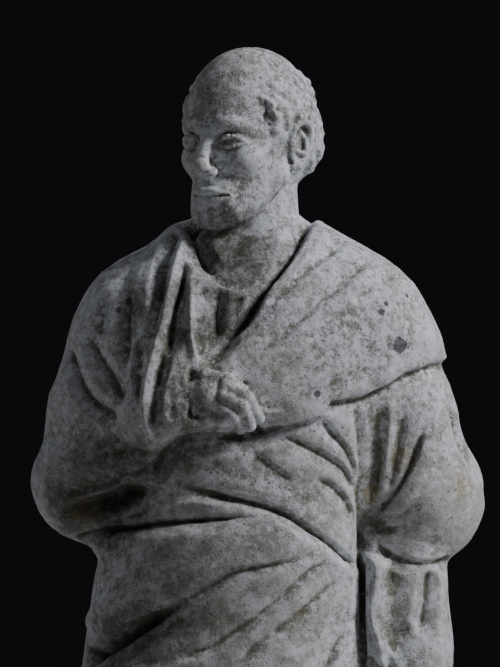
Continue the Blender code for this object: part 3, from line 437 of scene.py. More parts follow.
def nostrils_and_lips():
    return [
        *both_sides(lambda side: [head_blob(side * 11.5, -98, -32, 6.5, 9.5, 6)]),
        *head_bows([(0, -95.5, -57.5), (11, -93.5, -56.5), (25, -83, -62)], 3.6),
        *head_bows([(0, -92.5, -70), (10, -91.5, -69), (22, -83, -64)], 4.4),
    ]


def mouth_line():
    return head_bows([(0, -99, -63.5), (13, -95.5, -62.5), (27, -84.5, -63)], 1.5)


def ears():
    """Each ear's flat, its rim with the lobe, and its inner fold."""
    rim = [(72, -6, 2), (79, -2, 20), (84, 12, 27), (86, 24, 16), (82, 22, -8), (76, 9, -30), (73, 0, -32)]
    inner = [(78, 2, -12), (82, 13, -14), (82, 16, 2), (79, 8, 14)]
    flats = both_sides(lambda side: [head_blob(side * 73, 10, -3, 6, 17, 27)])
    return [*flats, *head_bows(rim, 4.4), *head_bows(inner, 3.0)]


# Each row of locks: its height, where it starts round from the face, and its thickness
HAIR_ROWS = [
    (78, 62, 7), (64, 56, 8), (50, 50, 8), (36, 48, 8), (22, 50, 8), (8, 55, 8), (-6, 114, 8),
    (-20, 115, 8), (-34, 119, 8), (-48, 126, 7),
]
LOCK_STEP = 13.0
EAR_SPAN = (73, 112)


def on_skull(angle, z):
    """The skull's surface that many degrees round from the face at height z, and its outward direction."""
    turn = radians(angle)
    out = np.array([sin(turn), -cos(turn), 0.0])
    centre = np.array([0, 14, z])
    reaches = np.linspace(30, 120, 91)
    places = np.array([head_point(*(centre + reach * out)) for reach in reaches])
    inside = join(skull(), places, 15 * MILLIMETRE) < 0
    return centre + reaches[inside].max(initial=reaches[0]) * out, out


def lock(row, z, thick, angle, side):
    """One comma-shaped lock, that many degrees round from the face."""
    curl = 6 * sin(2.3 * angle + 1.7 * row)
    length = 24 + 5 * sin(0.7 * angle + row)
    bulge = -3.2 + 1.0 * sin(1.1 * angle + row)
    places = []
    for share, swing in ((0.0, -6), (0.5, 5), (1.0, 1)):
        place, out = on_skull(angle + swing + curl * share, z + 11 - length * share)
        places.append((place + (bulge + thick * (0.35 - 0.1 * share)) * out) * np.array([side, 1, 1]))
    root, middle, tip = places
    thin, full, end = 0.55 * thick, 0.8 * thick, 0.4 * thick
    return [head_limb(root, middle, thin, full), head_limb(middle, tip, full, end)]


def hair():
    """Short locks in rows round the sides and the back, from the temples to the nape."""
    forms = []
    for side in (-1, 1):
        for row, (z, first, thick) in enumerate(HAIR_ROWS):
            for angle in np.arange(first + (row % 2) * LOCK_STEP / 2, 186, LOCK_STEP):
                if z >= 36 or not EAR_SPAN[0] < angle < EAR_SPAN[1]:
                    forms += lock(row, z, thick, angle, side)
    return forms


HAND_DEPTH = -112.0


def right_hand():
    """The hand that comes out of the sling, its fingers closed over the mantle's edge."""
    forms = [
        blob((210, 396, HAND_DEPTH + 2), 22, 14, 22),
        bar((201, 398, HAND_DEPTH + 8), (210, 396, HAND_DEPTH + 4), 18, 18),
    ]
    for *places, thick in (
        ((206, 374, 2), (228, 379, -2), (242, 388, 4), 7.0),
        ((226, 386, -6), (247, 396, -8), (259, 417, 3), 7.6),
        ((224, 394, -8), (242, 405, -11), (250, 424, 1), 7.8),
        ((219, 404, -6), (233, 414, -10), (240, 427, 2), 7.4),
        ((210, 412, -2), (223, 418, -6), (230, 424, 4), 6.6),
    ):
        knuckle, middle, tip = ((x, y, HAND_DEPTH + depth) for x, y, depth in places)
        forms += [bar(knuckle, middle, thick, 0.94 * thick), bar(middle, tip, 0.94 * thick, 0.8 * thick)]
    return forms


def foot(heel, ball, turn):
    """A bare foot that comes out from under the hem, with its five toes."""
    heel, ball = np.array(heel), np.array(ball)
    forms = [
        bar((heel[0], high, heel[1]), (ball[0], low, ball[1]), back, front)
        for high, low, back, front in ((1355, 1364, 31, 25), (1318, 1366, 27, 20))
    ]
    across = np.array([cos(radians(turn)), sin(radians(turn))])
    ahead = (ball - heel) / np.linalg.norm(ball - heel)
    for toe, reach in ((-2, 25), (-1, 31), (0, 33), (1, 33), (2, 34)):
        inner = 1 if turn > 0 else -1
        root = ball + across * 10.5 * toe * inner
        tip = root + ahead * reach
        thick = 8 + 2.0 * (toe == 2)
        forms.append(bar((root[0], 1373, root[1]), (tip[0], 1378, tip[1]), 10, thick))
    return forms


def feet():
    return foot((196, -40), (182, -108), -12) + foot((322, -44), (346, -112), 18)


CLOTH_FORMS = [*trunk_and_mantle(), *arms()]
END_FORMS = hanging_end()
HAND_FORMS = right_hand()
FEET_FORMS = feet()
NECK_FORMS, SKULL_FORMS, ORBIT_FORMS, BROW_FORMS = neck(), skull(), eye_hollows(), brow_and_nose()
LIP_FORMS, MOUTH_FORMS, EYE_FORMS = nostrils_and_lips(), mouth_line(), eyes()
EAR_FORMS, HAIR_FORMS = ears(), hair()
SOLID_FORMS = [
    *CLOTH_FORMS, *END_FORMS, *HAND_FORMS, *FEET_FORMS, *NECK_FORMS, *SKULL_FORMS, *BROW_FORMS,
    *LIP_FORMS, *EYE_FORMS, *EAR_FORMS, *HAIR_FORMS,
]


def head_distance(points):
    joined = join([*SKULL_FORMS, *NECK_FORMS], points, 15 * MILLIMETRE)
    for forms, blend, sign in (
        (ORBIT_FORMS, 9, -1), (BROW_FORMS, 9, 1), (LIP_FORMS, 4, 1), (MOUTH_FORMS, 2, -1), (EYE_FORMS, 2, 1),
        (HAIR_FORMS, 4.5, 1), (EAR_FORMS, 2.5, 1),
    ):
        joined = add(joined, forms, points, blend * MILLIMETRE, sign)
    return joined


def figure_distance(points):
    """The signed distance to the whole figure before its folds are cut."""
    joined = join(CLOTH_FORMS, points, 30 * UNIT)
    for forms, within, blend in ((END_FORMS, 14, 12), (FEET_FORMS, 6, 3), (HAND_FORMS, 2.2, 2)):
        joined = blend_of(joined, join(forms, points, within * UNIT), blend * UNIT)
    high = points[:, 2] > at(0, 270)[2]
    joined[high] = blend_of(joined[high], head_distance(points[high]), 5 * UNIT)
    return joined


# The carving. A stroke is drawn on an elevation of the figure and cut where it meets the form.


class Stroke:
    """A fold's line on the view from one side, sunk as a sharp crease (rise below 0) or raised as a ridge.

    The width is half the fold's. A lip is the rounded edge that stands up on a crease's right hand
    (positive) or left hand (negative), as one goes along it. The fold fades in over its lead and out over its
    trail, as shares of the way.
    """

    def __init__(self, line, rise, width, lip=0, lead=0.2, trail=0.2, view=FRONT):
        self.line, self.view, self.lead, self.trail = line, view, lead, trail
        self.crease, self.ridge, self.width, self.lip = max(-rise, 0), max(rise, 0), width, lip


def folds(rows):
    return [Stroke(*row) for row in rows]


# The sling round the right arm, from the shoulder down to the elbow and the wrist
SLING_FOLDS = folds([
    ([(178, 228), (172, 243), (165, 263), (162, 286), (159, 306), (155, 328), (151, 350)], -14, 8, -3, 0.08,
     0.45),
    ([(186, 230), (177, 262), (171, 288), (167, 314), (159, 344), (150, 378), (147, 406), (151, 428),
     (164, 444)], 8, 8, 0, 0.15, 0.1),
    ([(189, 256), (184, 279), (178, 300), (173, 322), (170, 344), (167, 368)], -18, 8, 0, 0.25, 0.3),
    ([(170, 326), (164, 350), (158, 374), (154, 396), (153, 416), (158, 433)], -12, 8, 0, 0.4),
    ([(190, 250), (191, 278), (191, 305), (191, 332), (194, 354), (198, 364)], 7, 6, 0, 0.4, 0.1),
    ([(194, 222), (198, 242), (203, 258), (213, 272), (223, 283)], -19, 9, 0, 0.02, 0.4),
    ([(204, 284), (209, 302), (214, 320)], -4, 6, 0, 0.3, 0.3),
    ([(133, 258), (126, 276), (121, 294), (118, 312)], -4, 9, 0, 0.4, 0.45),
    ([(133, 284), (129, 309), (127, 330), (127, 352), (130, 380)], -9, 12, 0, 0.35, 0.4),
    ([(146, 318), (142, 345), (139, 366), (137, 388), (136, 408), (139, 430)], -7, 8, 0, 0.4, 0.3),
    ([(92, 452), (118, 452), (146, 452), (170, 458)], -8, 14, 0, 0.4, 0.3),
    ([(141, 326), (135, 349), (133, 372), (132, 400)], 4, 5, 0, 0.3, 0.3),
    ([(176, 366), (172, 392), (176, 424)], -5, 7, 0, 0.3),
    ([(184, 352), (183, 380), (186, 404), (192, 426)], -5, 6, 0, 0.3),
    ([(193, 362), (195, 384), (196, 405), (199, 424)], -12, 6),
    ([(67, 338), (70, 356), (76, 374), (84, 390), (96, 404), (107, 411), (122, 424)], -13, 8, 3),
    ([(88, 330), (94, 348), (101, 361), (110, 376), (117, 392), (122, 408)], -12, 9, 3, 0.25),
    ([(112, 300), (106, 318), (100, 338)], -4, 9),
    ([(48, 428), (58, 440), (72, 448)], -4, 8),
    ([(62, 486), (96, 482), (130, 475), (154, 463)], -9, 8),
    ([(78, 472), (108, 467), (138, 456)], -6, 7),
    ([(58, 503), (82, 498), (106, 491), (130, 484)], 5, 8),
    ([(50, 516), (80, 514), (106, 506), (132, 495), (156, 482)], -30, 25, 0, 0.3, 0.3),
    ([(112, 432), (128, 452), (152, 464)], -6, 9),
])

# The rolls under the arm and the folds drawn across the belly to the left hip
BELLY_FOLDS = folds([
    ([(150, 476), (164, 456), (186, 443), (212, 438), (240, 437), (266, 429), (300, 422), (322, 417)], -17,
     10, 0, 0.1, 0.35),
    ([(56, 530), (80, 531), (104, 523), (130, 510), (156, 496), (176, 492)], 8, 9),
    ([(66, 540), (88, 537), (112, 530), (146, 522), (188, 517), (232, 515), (270, 516), (298, 519)], -18, 9,
     -5, 0.05, 0.45),
    ([(166, 478), (197, 486), (228, 494), (255, 500), (282, 509), (304, 523), (326, 538), (343, 552),
     (355, 565)], -15, 8, -7, 0.3, 0.08),
    ([(236, 438), (252, 450), (270, 464), (296, 482)], -4, 9, -2),
    ([(262, 432), (286, 436), (308, 446), (330, 458), (346, 471), (358, 490)], -8, 8, -3, 0.3, 0.1),
    ([(318, 415), (332, 432), (345, 448), (354, 467), (358, 486)], -8, 8, -3, 0.15, 0.15),
    ([(306, 475), (326, 481), (338, 490), (347, 502), (354, 520)], -6, 8, -3, 0.3, 0.15),
    ([(80, 664), (97, 646), (126, 629), (152, 614), (176, 603), (202, 590)], -34, 19, -11, 0.03, 0.4),
    ([(150, 612), (176, 599), (198, 589), (220, 576), (238, 567), (273, 561), (308, 553), (334, 546)], -8, 6,
     -4, 0.2, 0.35),
    ([(172, 668), (192, 650), (216, 638), (250, 616), (282, 591), (308, 568), (340, 550)], -8, 6, -4, 0.2,
     0.25),
    ([(210, 706), (232, 670), (246, 650), (262, 637), (290, 616), (320, 590), (348, 566)], -6, 8, -3),
    ([(116, 642), (148, 632), (178, 618), (204, 602)], -12, 20, 0, 0.3, 0.4),
    ([(106, 648), (130, 660), (160, 664), (190, 658), (214, 644)], 5, 10),
    ([(353, 398), (357, 424), (359, 450), (360, 480), (358, 505), (359, 535), (360, 570), (362, 604),
     (365, 640), (366, 680), (365, 730)], -8, 6, 2, 0.05, 0.15),
])

# The left sleeve, drawn in at the crook of the arm, and the cloth that hangs below it
LEFT_ARM_FOLDS = folds([
    ([(375, 388), (377, 420), (378, 452), (374, 486), (366, 512)], -8, 9, 0, 0.45, 0.25),
    ([(389, 388), (388, 425), (385, 462), (379, 498)], 5, 7, 0, 0.25, 0.3),
    ([(403, 384), (401, 425), (394, 466), (380, 510)], -8, 11, 0, 0.45, 0.25),
    ([(425, 414), (420, 438), (411, 462), (398, 486), (384, 505), (374, 518)], -12, 8, -5, 0.35),
    ([(376, 522), (396, 514), (420, 504), (442, 492)], -4, 9, 0, 0.3, 0.5),
    ([(376, 529), (396, 526), (420, 522), (446, 518)], -4, 7, 0, 0.3, 0.5),
    ([(370, 536), (386, 550), (410, 560), (436, 562), (464, 549)], -8, 9, -5, 0.2, 0.12),
    ([(366, 532), (373, 550), (379, 568), (378, 590), (374, 610), (380, 634), (396, 664), (410, 700)], 6, 9,
     0, 0.15),
    ([(392, 566), (386, 586), (384, 604)], -4, 12, 0, 0.3, 0.4),
    ([(423, 566), (420, 586), (414, 606)], -8, 6, 0, 0.3, 0.45),
    ([(431, 560), (430, 585), (427, 608), (417, 638)], -19, 9, 0, 0.25, 0.3),
    ([(378, 612), (386, 626), (400, 629), (416, 618)], -5, 13, 0, 0.3, 0.3),
    ([(366, 640), (374, 656), (386, 666), (402, 672), (430, 678)], -7, 9, -4, 0.25, 0.5),
])

# The tunic at the neck, and the mantle from the left shoulder down across the chest
CHEST_FOLDS = folds([
    ([(309, 226), (300, 245), (290, 262), (278, 277), (266, 291), (254, 313), (238, 332), (212, 347)], -15, 8,
     -6, 0.1),
    ([(298, 228), (292, 243), (276, 268), (260, 292)], -9, 7, 0, 0.1, 0.4),
    ([(200, 284), (209, 306), (216, 336)], -5, 7),
    ([(222, 286), (217, 312), (219, 342)], -9, 7),
    ([(240, 292), (238, 308), (232, 326)], -4, 7),
    ([(205, 262), (214, 279), (232, 288), (254, 285), (274, 268)], -5, 6, 3),
    ([(242, 336), (229, 352), (213, 369)], -7, 7, -3),
    ([(352, 240), (326, 260), (298, 281), (270, 306), (238, 340)], -7, 9, -3),
    ([(374, 258), (345, 284), (318, 306), (290, 330), (248, 364)], -6, 8, -3),
    ([(410, 280), (390, 282), (369, 291), (348, 305)], -8, 7, -3),
    ([(444, 334), (404, 347), (352, 364), (300, 388)], 3, 14),
    ([(420, 345), (378, 355), (345, 372), (312, 394)], -5, 9),
    ([(262, 402), (276, 407), (292, 408)], -4, 5),
    ([(318, 405), (336, 402), (358, 400), (368, 395), (386, 387), (406, 376), (432, 367), (454, 365)], -6, 8,
     0, 0.1, 0.02),
])


def fan(count, first, last, *cut, **more):
    """That many strokes, spread evenly from the first line to the last."""
    first, last = np.array(first, float), np.array(last, float)
    return [Stroke(first + share * (last - first), *cut, **more) for share in np.linspace(0, 1, count)]


def skirt_folds():
    """Folds drawn from the left hip down across the legs, and the hem's upright ones."""
    high = [(350, 600), (318, 680), (244, 770), (150, 850), (100, 880)]
    low = [(366, 850), (372, 1000), (360, 1130), (322, 1250), (290, 1318)]
    outer = [(396, 690), (390, 850), (378, 1040), (370, 1180)]
    inner = [(424, 700), (414, 860), (398, 1040), (382, 1170)]
    return [
        *fan(5, high, low, -11, 11, -5),
        *fan(2, outer, inner, -8, 9),
        *(Stroke([(x, 1215), (x + 2, 1270), (x + 3, 1322)], -9, 8.5) for x in (150, 183, 221, 256, 342)),
        Stroke([(100, 700), (96, 800), (104, 900)], -6, 9),
        Stroke([(130, 690), (190, 730), (250, 700)], -6, 12),
    ]


def side_folds():
    """Long falls on both flanks, and the slanting folds of the sleeves above them."""
    right_front = [(300, 690), (290, 820), (278, 980), (262, 1150), (256, 1384)]
    right_back = [(250, 640), (232, 800), (214, 960), (206, 1140), (206, 1384)]
    left_front = [(330, 560), (320, 700), (310, 900), (306, 1100), (304, 1384)]
    left_back = [(246, 580), (246, 780), (252, 960), (256, 1150), (258, 1384)]
    right_outer = [(212, 300), (222, 370), (250, 440), (284, 476)]
    right_inner = [(182, 300), (196, 400), (226, 480), (268, 512)]
    left_outer = [(266, 380), (276, 430), (300, 476), (336, 506)]
    left_inner = [(240, 392), (246, 450), (256, 480), (276, 506)]
    return [
        *fan(3, right_front, right_back, -10, 11, -4, trail=0.02, view=RIGHT_SIDE),
        *fan(3, left_front, left_back, -10, 11, trail=0.02, view=LEFT_SIDE),
        *fan(2, right_outer, right_inner, -9, 9, view=RIGHT_SIDE),
        *fan(2, left_outer, left_inner, -9, 9, view=LEFT_SIDE),
    ]


def back_folds():
    """Swags that hang from shoulder to shoulder and slant more and more further down, and the hem's folds."""
    high = [(135, 306), (185, 372), (250, 405), (325, 392), (385, 340)]
    low = [(144, 900), (176, 1015), (230, 1110), (300, 1180), (370, 1215)]
    hem = [[(x, top), (x + 12, 1270), (x + 18, 1384)] for x, top in ((186, 1130), (284, 1190), (336, 1215))]
    return [
        *fan(7, high, low, -10, 13, -4, view=BACK),
        *(Stroke(line, -9, 11, trail=0.02, view=BACK) for line in hem),
    ]


# The drilled edge of the hair at the left temple
HAIR_FOLDS = folds([
    ([(264, 98), (266, 112), (270, 131)], -8, 5, 0, 0.4, 0.1),
])

CLOTH_FOLDS = [
    *SLING_FOLDS, *BELLY_FOLDS, *LEFT_ARM_FOLDS, *CHEST_FOLDS, *skirt_folds(), *side_folds(), *back_folds()
]

# Cloth that lies over more cloth: an outline on one view, and how much it stands out
MANTLE_PANEL = [
    (312, 226), (330, 224), (348, 236), (374, 252), (420, 276), (446, 318), (462, 358), (432, 363),
    (402, 373), (384, 384), (360, 396), (330, 400), (320, 416), (298, 420), (262, 430), (246, 404),
    (222, 372), (212, 368), (228, 350), (246, 324), (262, 300), (276, 282), (292, 262), (302, 245),
]
BODY_WRAP = [
    (357, 570), (361, 604), (365, 660), (366, 760), (300, 800), (80, 800), (76, 600), (98, 540), (124, 532),
    (152, 524), (184, 520), (218, 516), (256, 515), (290, 516), (308, 523), (326, 537), (342, 552),
]
BESIDE_WRAP = [(363, 552), (388, 560), (386, 640), (394, 780), (367, 780)]
LAYERS = [(MANTLE_PANEL, 8.0, 3.0, FRONT), (BODY_WRAP, 3.5, 6.0, FRONT), (BESIDE_WRAP, 14.0, 8.0, FRONT)]


def view_axes(view):
    """The view's direction to the right, and the direction that it looks in."""
    turn = radians(view)
    return np.array([cos(turn), sin(turn), 0]), np.array([-sin(turn), cos(turn), 0])


def on_elevation(points, view):
    """Grid places of points on the elevation seen from one side."""
    right, _ = view_axes(view)
    across = points @ right / UNIT + GRID_AXIS
    down = GRID_SOLE - (points[:, 2] - PLINTH_HEIGHT) / UNIT
    return np.stack([across, down], axis=1)


def drawn_on(tree, line, view):
    """A stroke's line laid on the form: its points, and the form's normals there."""
    right, ahead = view_axes(view)
    flat = smooth_curve(line, max(8, int(np.abs(np.diff(line, axis=0)).sum() / 5)))
    places, normals = [], []
    for x, y in flat:
        start = (x - GRID_AXIS) * UNIT * right - ahead
        start[2] = PLINTH_HEIGHT + (GRID_SOLE - y) * UNIT
        hit, normal, _, _ = tree.ray_cast(Vector(start), Vector(ahead))
        if hit is not None:
            places.append(hit)
            normals.append(normal)
    return np.array(places), np.array(normals)


def along(places, facing, points):
    """For each point: its distance to the line, its side (right hand positive) and its share of the way."""
    lengths = np.linalg.norm(np.diff(places, axis=0), axis=1)
    run = np.concatenate([[0], np.cumsum(lengths)])
    spread = (points**2).sum(1)[:, None] - 2 * points @ places.T + (places**2).sum(1)
    knot = spread.argmin(axis=1)
    nearest = np.full(len(points), np.inf)
    side = np.zeros(len(points))
    way = np.zeros(len(points))
    for first in (knot - 1, knot):
        i = np.clip(first, 0, len(places) - 2)
        step = places[i + 1] - places[i]
        share = np.clip(((points - places[i]) * step).sum(1) / np.maximum((step**2).sum(1), 1e-12), 0, 1)
        away = points - places[i] - share[:, None] * step
        gap = np.linalg.norm(away, axis=1)
        closer = gap < nearest
        hand = np.sign((away * np.cross(step, facing[i])).sum(1))
        nearest = np.where(closer, gap, nearest)
        side = np.where(closer, hand, side)
        way = np.where(closer, (run[i] + share * lengths[i]) / run[-1], way)
    return nearest, side, way


def carve(points, normals, strokes, tree):
    """How far each point moves out (positive) or in along its normal, for all strokes together."""
    raised, sunk = np.zeros(len(points)), np.zeros(len(points))
    for stroke in strokes:
        places, facing = drawn_on(tree, stroke.line, stroke.view)
        if len(places) < 3:
            continue
        width = stroke.width * UNIT
        reach = 2.6 * width
        box = ((points > places.min(0) - reach) & (points < places.max(0) + reach)).all(axis=1)
        local = np.flatnonzero(box)
        gap, side, way = along(places, facing, points[local])
        keep = gap < reach
        local, gap, side, way = local[keep], gap[keep], side[keep], way[keep]
        fade = smooth_step(way / stroke.lead) * smooth_step((1 - way) / stroke.trail)
        narrow = CREASE_SHARE * width * (0.3 + 0.7 * fade)
        valley = SHARP_SHARE * np.clip(1 - gap / narrow, 0, 1) ** 1.5
        valley += (1 - SHARP_SHARE) * (1 - smooth_step(gap / (2.4 * width)))
        crown = stroke.ridge * 0.5 * (1 + np.cos(pi * np.clip(gap / width, 0, 1)))
        crown += SWELL * stroke.crease * np.sin(pi * np.clip(gap / width - 0.9, 0, 1.6) / 1.6) ** 2
        if stroke.lip:
            t = np.clip(gap / (2.5 * width), 0, 1)
            on_lip = side * np.sign(stroke.lip) > 0
            crown = crown + abs(stroke.lip) * on_lip * smooth_step(t / 0.25) * (1 - t) ** 2 * 1.6
        sunk[local] = np.maximum(sunk[local], stroke.crease * valley * fade)
        raised[local] = np.maximum(raised[local], crown * fade)
    return (raised - sunk) * UNIT


def inside_outline(places, outline):
    """Signed distance to a closed outline, in units, positive inside."""
    corners = np.array(outline, float)
    gap = np.full(len(places), np.inf)
    inside = np.zeros(len(places), bool)
    for a, b in zip(corners, np.roll(corners, -1, axis=0)):
        step = b - a
        share = np.clip((places - a) @ step / (step @ step), 0, 1)
        gap = np.minimum(gap, np.linalg.norm(places - a - share[:, None] * step, axis=1))
        crosses = (a[1] > places[:, 1]) != (b[1] > places[:, 1])
        rise = b[1] - a[1] if b[1] != a[1] else 1e-9
        inside ^= crosses & (places[:, 0] < a[0] + (places[:, 1] - a[1]) / rise * step[0])
    return np.where(inside, gap, -gap)


def overlay(points, normals, layers):
    """How far cloth that lies on top lifts each point."""
    lift = np.zeros(len(points))
    for outline, thick, edge, view in layers:
        _, ahead = view_axes(view)
        places = on_elevation(points, view)
        facing = smooth_step((-(normals @ ahead) + 0.25) / 0.3)
        lift += thick * smooth_step(0.5 + inside_outline(places, outline) / edge) * facing
    return lift * UNIT


# Making the meshes


def placed(name, data):
    """A new object with that data, in the scene."""
    obj = bpy.data.objects.new(name, data)
    bpy.context.scene.collection.objects.link(obj)
    return obj


def evaluated_mesh(obj):
    """The object's mesh with its modifiers applied, and the modifiers gone."""
    graph = bpy.context.evaluated_depsgraph_get()
    made = bpy.data.meshes.new_from_object(obj.evaluated_get(graph))
    obj.modifiers.clear()
    obj.data = made
    return made


def tree_of(obj):
    return BVHTree.FromObject(obj, bpy.context.evaluated_depsgraph_get())


def remesh(obj, cell):
    modifier = obj.modifiers.new("cells", "REMESH")
    modifier.mode = "VOXEL"
    modifier.voxel_size = cell
    modifier.adaptivity = 0
    return evaluated_mesh(obj)


def rows_from(parts, name, wide, kind=np.float32):
    """One property of all the points or edges, a row for each."""
    flat = np.empty(len(parts) * wide, kind)
    parts.foreach_get(name, flat)
    return flat.reshape(-1, wide)


def points_of(mesh):
    return rows_from(mesh.vertices, "co", 3).astype(float)


def normals_of(mesh):
    return rows_from(mesh.vertex_normals, "vector", 3).astype(float)


def edges_of(mesh):
    return rows_from(mesh.edges, "vertices", 2, np.int32)


def set_points(mesh, points):
    mesh.vertices.foreach_set("co", points.astype(np.float32).ravel())
    mesh.update()


def snap_to_form(mesh, rounds):
    """Moves the mesh's points along their normals on to the figure's surface."""
    for _ in range(rounds):
        points, normals = points_of(mesh), normals_of(mesh)
        gap = np.clip(figure_distance(points), -0.8 * ROUGH_CELL, 0.8 * ROUGH_CELL)
        set_points(mesh, points - gap[:, None] * normals)


def rough_block():
    """All the simple forms in one mesh, as a block roughed out."""
    turns = np.linspace(0, 2 * pi, RING_POINTS, endpoint=False)[:, None]
    corners, faces = [], []
    for form in SOLID_FORMS:
        first = len(corners)
        for centre, wide, deep in form.rings():
            corners.extend(centre + np.cos(turns) * wide + np.sin(turns) * deep)
        last = len(corners) - RING_POINTS
        for start in range(first, last, RING_POINTS):
            for i in range(RING_POINTS):
                j = (i + 1) % RING_POINTS
                faces.append((start + i, start + j, start + RING_POINTS + j, start + RING_POINTS + i))
        faces.append(tuple(range(first + RING_POINTS - 1, first - 1, -1)))
        faces.append(tuple(range(last, last + RING_POINTS)))
    mesh = bpy.data.meshes.new("orator_skin")
    mesh.from_pydata([tuple(corner) for corner in corners], [], faces)
    return placed("orator_skin", mesh)


def carved_figure(cell):
    """The figure worked to that fineness, with its folds."""
    obj = rough_block()
    snap_to_form(remesh(obj, ROUGH_CELL), 2)
    mesh = remesh(obj, cell)
    snap_to_form(mesh, 2)
    points, normals = points_of(mesh), normals_of(mesh)
    tree = tree_of(obj)
    moved = carve(points, normals, CLOTH_FOLDS, tree) + overlay(points, normals, LAYERS)
    bare = np.minimum(join(HAND_FORMS, points, UNIT), join(SKULL_FORMS, points, UNIT))
    moved *= smooth_step((bare - 1.5 * UNIT) / (4 * UNIT))
    set_points(mesh, points + moved[:, None] * normals)
    return obj


# Weathering. All noise is worked out from the place alone.


def lattice_noise(points, size, seed):
    """Smooth noise from -1 to 1 with features of that size."""
    cells = points / size
    base = np.floor(cells).astype(np.int64)
    share = smooth_step(cells - base)
    total = np.zeros(len(points))
    for corner in np.ndindex(2, 2, 2):
        mixed = (base + corner) @ LATTICE_STEPS + seed
        mixed = (mixed ^ (mixed >> 13)) * LATTICE_MIX & LATTICE_TOP
        value = ((mixed ^ (mixed >> 16)) & 0xFFFF) / 32767.5 - 1
        total += value * np.prod(np.where(corner, share, 1 - share), axis=1)
    return total


def peaks(points, size, seed, floor):
    """The noise above that floor, and 0 where it lies below."""
    return np.clip(lattice_noise(points, size, seed) - floor, 0, 1)


def weather(points, normals):
    """Worn undulation, grain, pits and chips in the stone, along its normals, less on the bare parts."""
    worn = sum(height * lattice_noise(points, size, seed) for size, height, seed in WORN_LAYERS)
    worn -= PIT_DEPTH * (peaks(points, PIT_SIZE, 71, 0.45) + 0.6 * peaks(points, 1.9 * PIT_SIZE, 83, 0.55))
    worn -= CHIP_DEPTH * peaks(points, CHIP_SIZE, 97, 0.52)
    return points + ((1 - 0.6 * bare_share(points)) * worn)[:, None] * normals


def relaxed(values, mesh, rounds, pull):
    """Rows of values at the points, each drawn that far to the mean of its neighbours' in every round."""
    edges = edges_of(mesh)
    count = np.bincount(edges.ravel(), minlength=len(values))[:, None]
    for _ in range(rounds):
        total = np.zeros_like(values)
        for a, b in (edges.T, edges.T[::-1]):
            for k in range(values.shape[1]):
                total[:, k] += np.bincount(a, weights=values[b, k], minlength=len(values))
        values = (1 - pull) * values + pull * total / count
    return values


def hollowness(mesh, rounds):
    """How far each point lies below its smoothed surroundings, in metres."""
    points = points_of(mesh)
    return ((relaxed(points, mesh, rounds, 0.6) - points) * normals_of(mesh)).sum(axis=1)


def shelter_of(mesh, tree):
    """The share of directions off each point's surface that the statue itself shades."""
    step = np.arange(SHELTER_RAYS) + 0.5
    height, turn = 1 - 2 * step / SHELTER_RAYS, step * pi * (1 + sqrt(5))
    level = np.sqrt(1 - height**2)
    directions = np.stack([level * np.cos(turn), level * np.sin(turn), height], axis=1)
    normals = normals_of(mesh)
    starts = points_of(mesh) + normals * RAY_GAP
    facing = normals @ directions.T
    shaded = np.zeros(len(normals))
    for k, direction in enumerate(directions):
        for i in np.flatnonzero(facing[:, k] > 0.1):
            if tree.ray_cast(Vector(starts[i]), Vector(direction), SHELTER_REACH)[0] is not None:
                shaded[i] += facing[i, k]
    return shaded / np.maximum(np.where(facing > 0.1, facing, 0).sum(axis=1), 1e-6)


def keep_as_attribute(mesh, name, values, rounds):
    """Keeps the values on the mesh's points, smoothed that many times."""
    layer = mesh.attributes.new(name, "FLOAT", "POINT")
    layer.data.foreach_set("value", relaxed(values[:, None], mesh, rounds, 0.5)[:, 0].astype(np.float32))


def add_plinth(obj, cell):
    """Joins a low slab with rounded corners, flat below, to the figure, as one skin."""
    mesh = bmesh.new()
    size = Matrix.Diagonal((PLINTH_WIDTH, PLINTH_DEPTH, PLINTH_HEIGHT, 1))
    bmesh.ops.create_cube(mesh, size=1, matrix=Matrix.Translation((0, 0, PLINTH_HEIGHT / 2)) @ size)
    upright = [e for e in mesh.edges if abs(e.verts[0].co.z - e.verts[1].co.z) > PLINTH_HEIGHT / 2]
    bmesh.ops.bevel(mesh, geom=upright, offset=PLINTH_CORNER, segments=5, affect="EDGES", profile=0.5)
    top = [e for e in mesh.edges if min(v.co.z for v in e.verts) > PLINTH_HEIGHT * 0.99]
    bmesh.ops.bevel(mesh, geom=top, offset=PLINTH_EDGE, segments=2, affect="EDGES", profile=0.5)
    mesh.from_mesh(obj.data)
    mesh.to_mesh(obj.data)
    mesh.free()
    return remesh(obj, cell)


def bare_share(points):
    """1 on the bare head, neck and hand, 0 on the cloth round them."""
    head = join([*SKULL_FORMS, *NECK_FORMS], points, UNIT)
    high = np.flatnonzero(points[:, 2] > at(0, BARE_NECK + 20)[2])
    head[high] = head_distance(points[high])
    share = 1 - smooth_step((head - 0.8 * UNIT) / (1.2 * UNIT))
    share *= smooth_step((points[:, 2] - at(0, BARE_NECK)[2]) / (9 * UNIT))
    hand = join(HAND_FORMS, points, UNIT)
    return np.maximum(share, 1 - smooth_step((hand - 0.8 * UNIT) / (1.2 * UNIT)))


def finer_bare_parts(obj):
    """Splits the faces of the head and the hand, and works them on to their forms."""
    mesh = obj.data
    bare = bare_share(points_of(mesh)) > 0.5
    work = bmesh.new()
    work.from_mesh(mesh)
    edges = [edge for edge in work.edges if bare[edge.verts[0].index] and bare[edge.verts[1].index]]
    bmesh.ops.subdivide_edges(work, edges=edges, cuts=1, use_grid_fill=True)
    work.to_mesh(mesh)
    work.free()
    points = points_of(mesh)
    share = bare_share(points)
    chosen = np.flatnonzero(share > 0)
    for _ in range(3):
        gap = np.clip(figure_distance(points[chosen]), -SNAP_STEP, SNAP_STEP)
        points[chosen] -= (share[chosen] * gap)[:, None] * normals_of(mesh)[chosen]
        set_points(mesh, points)
    return mesh


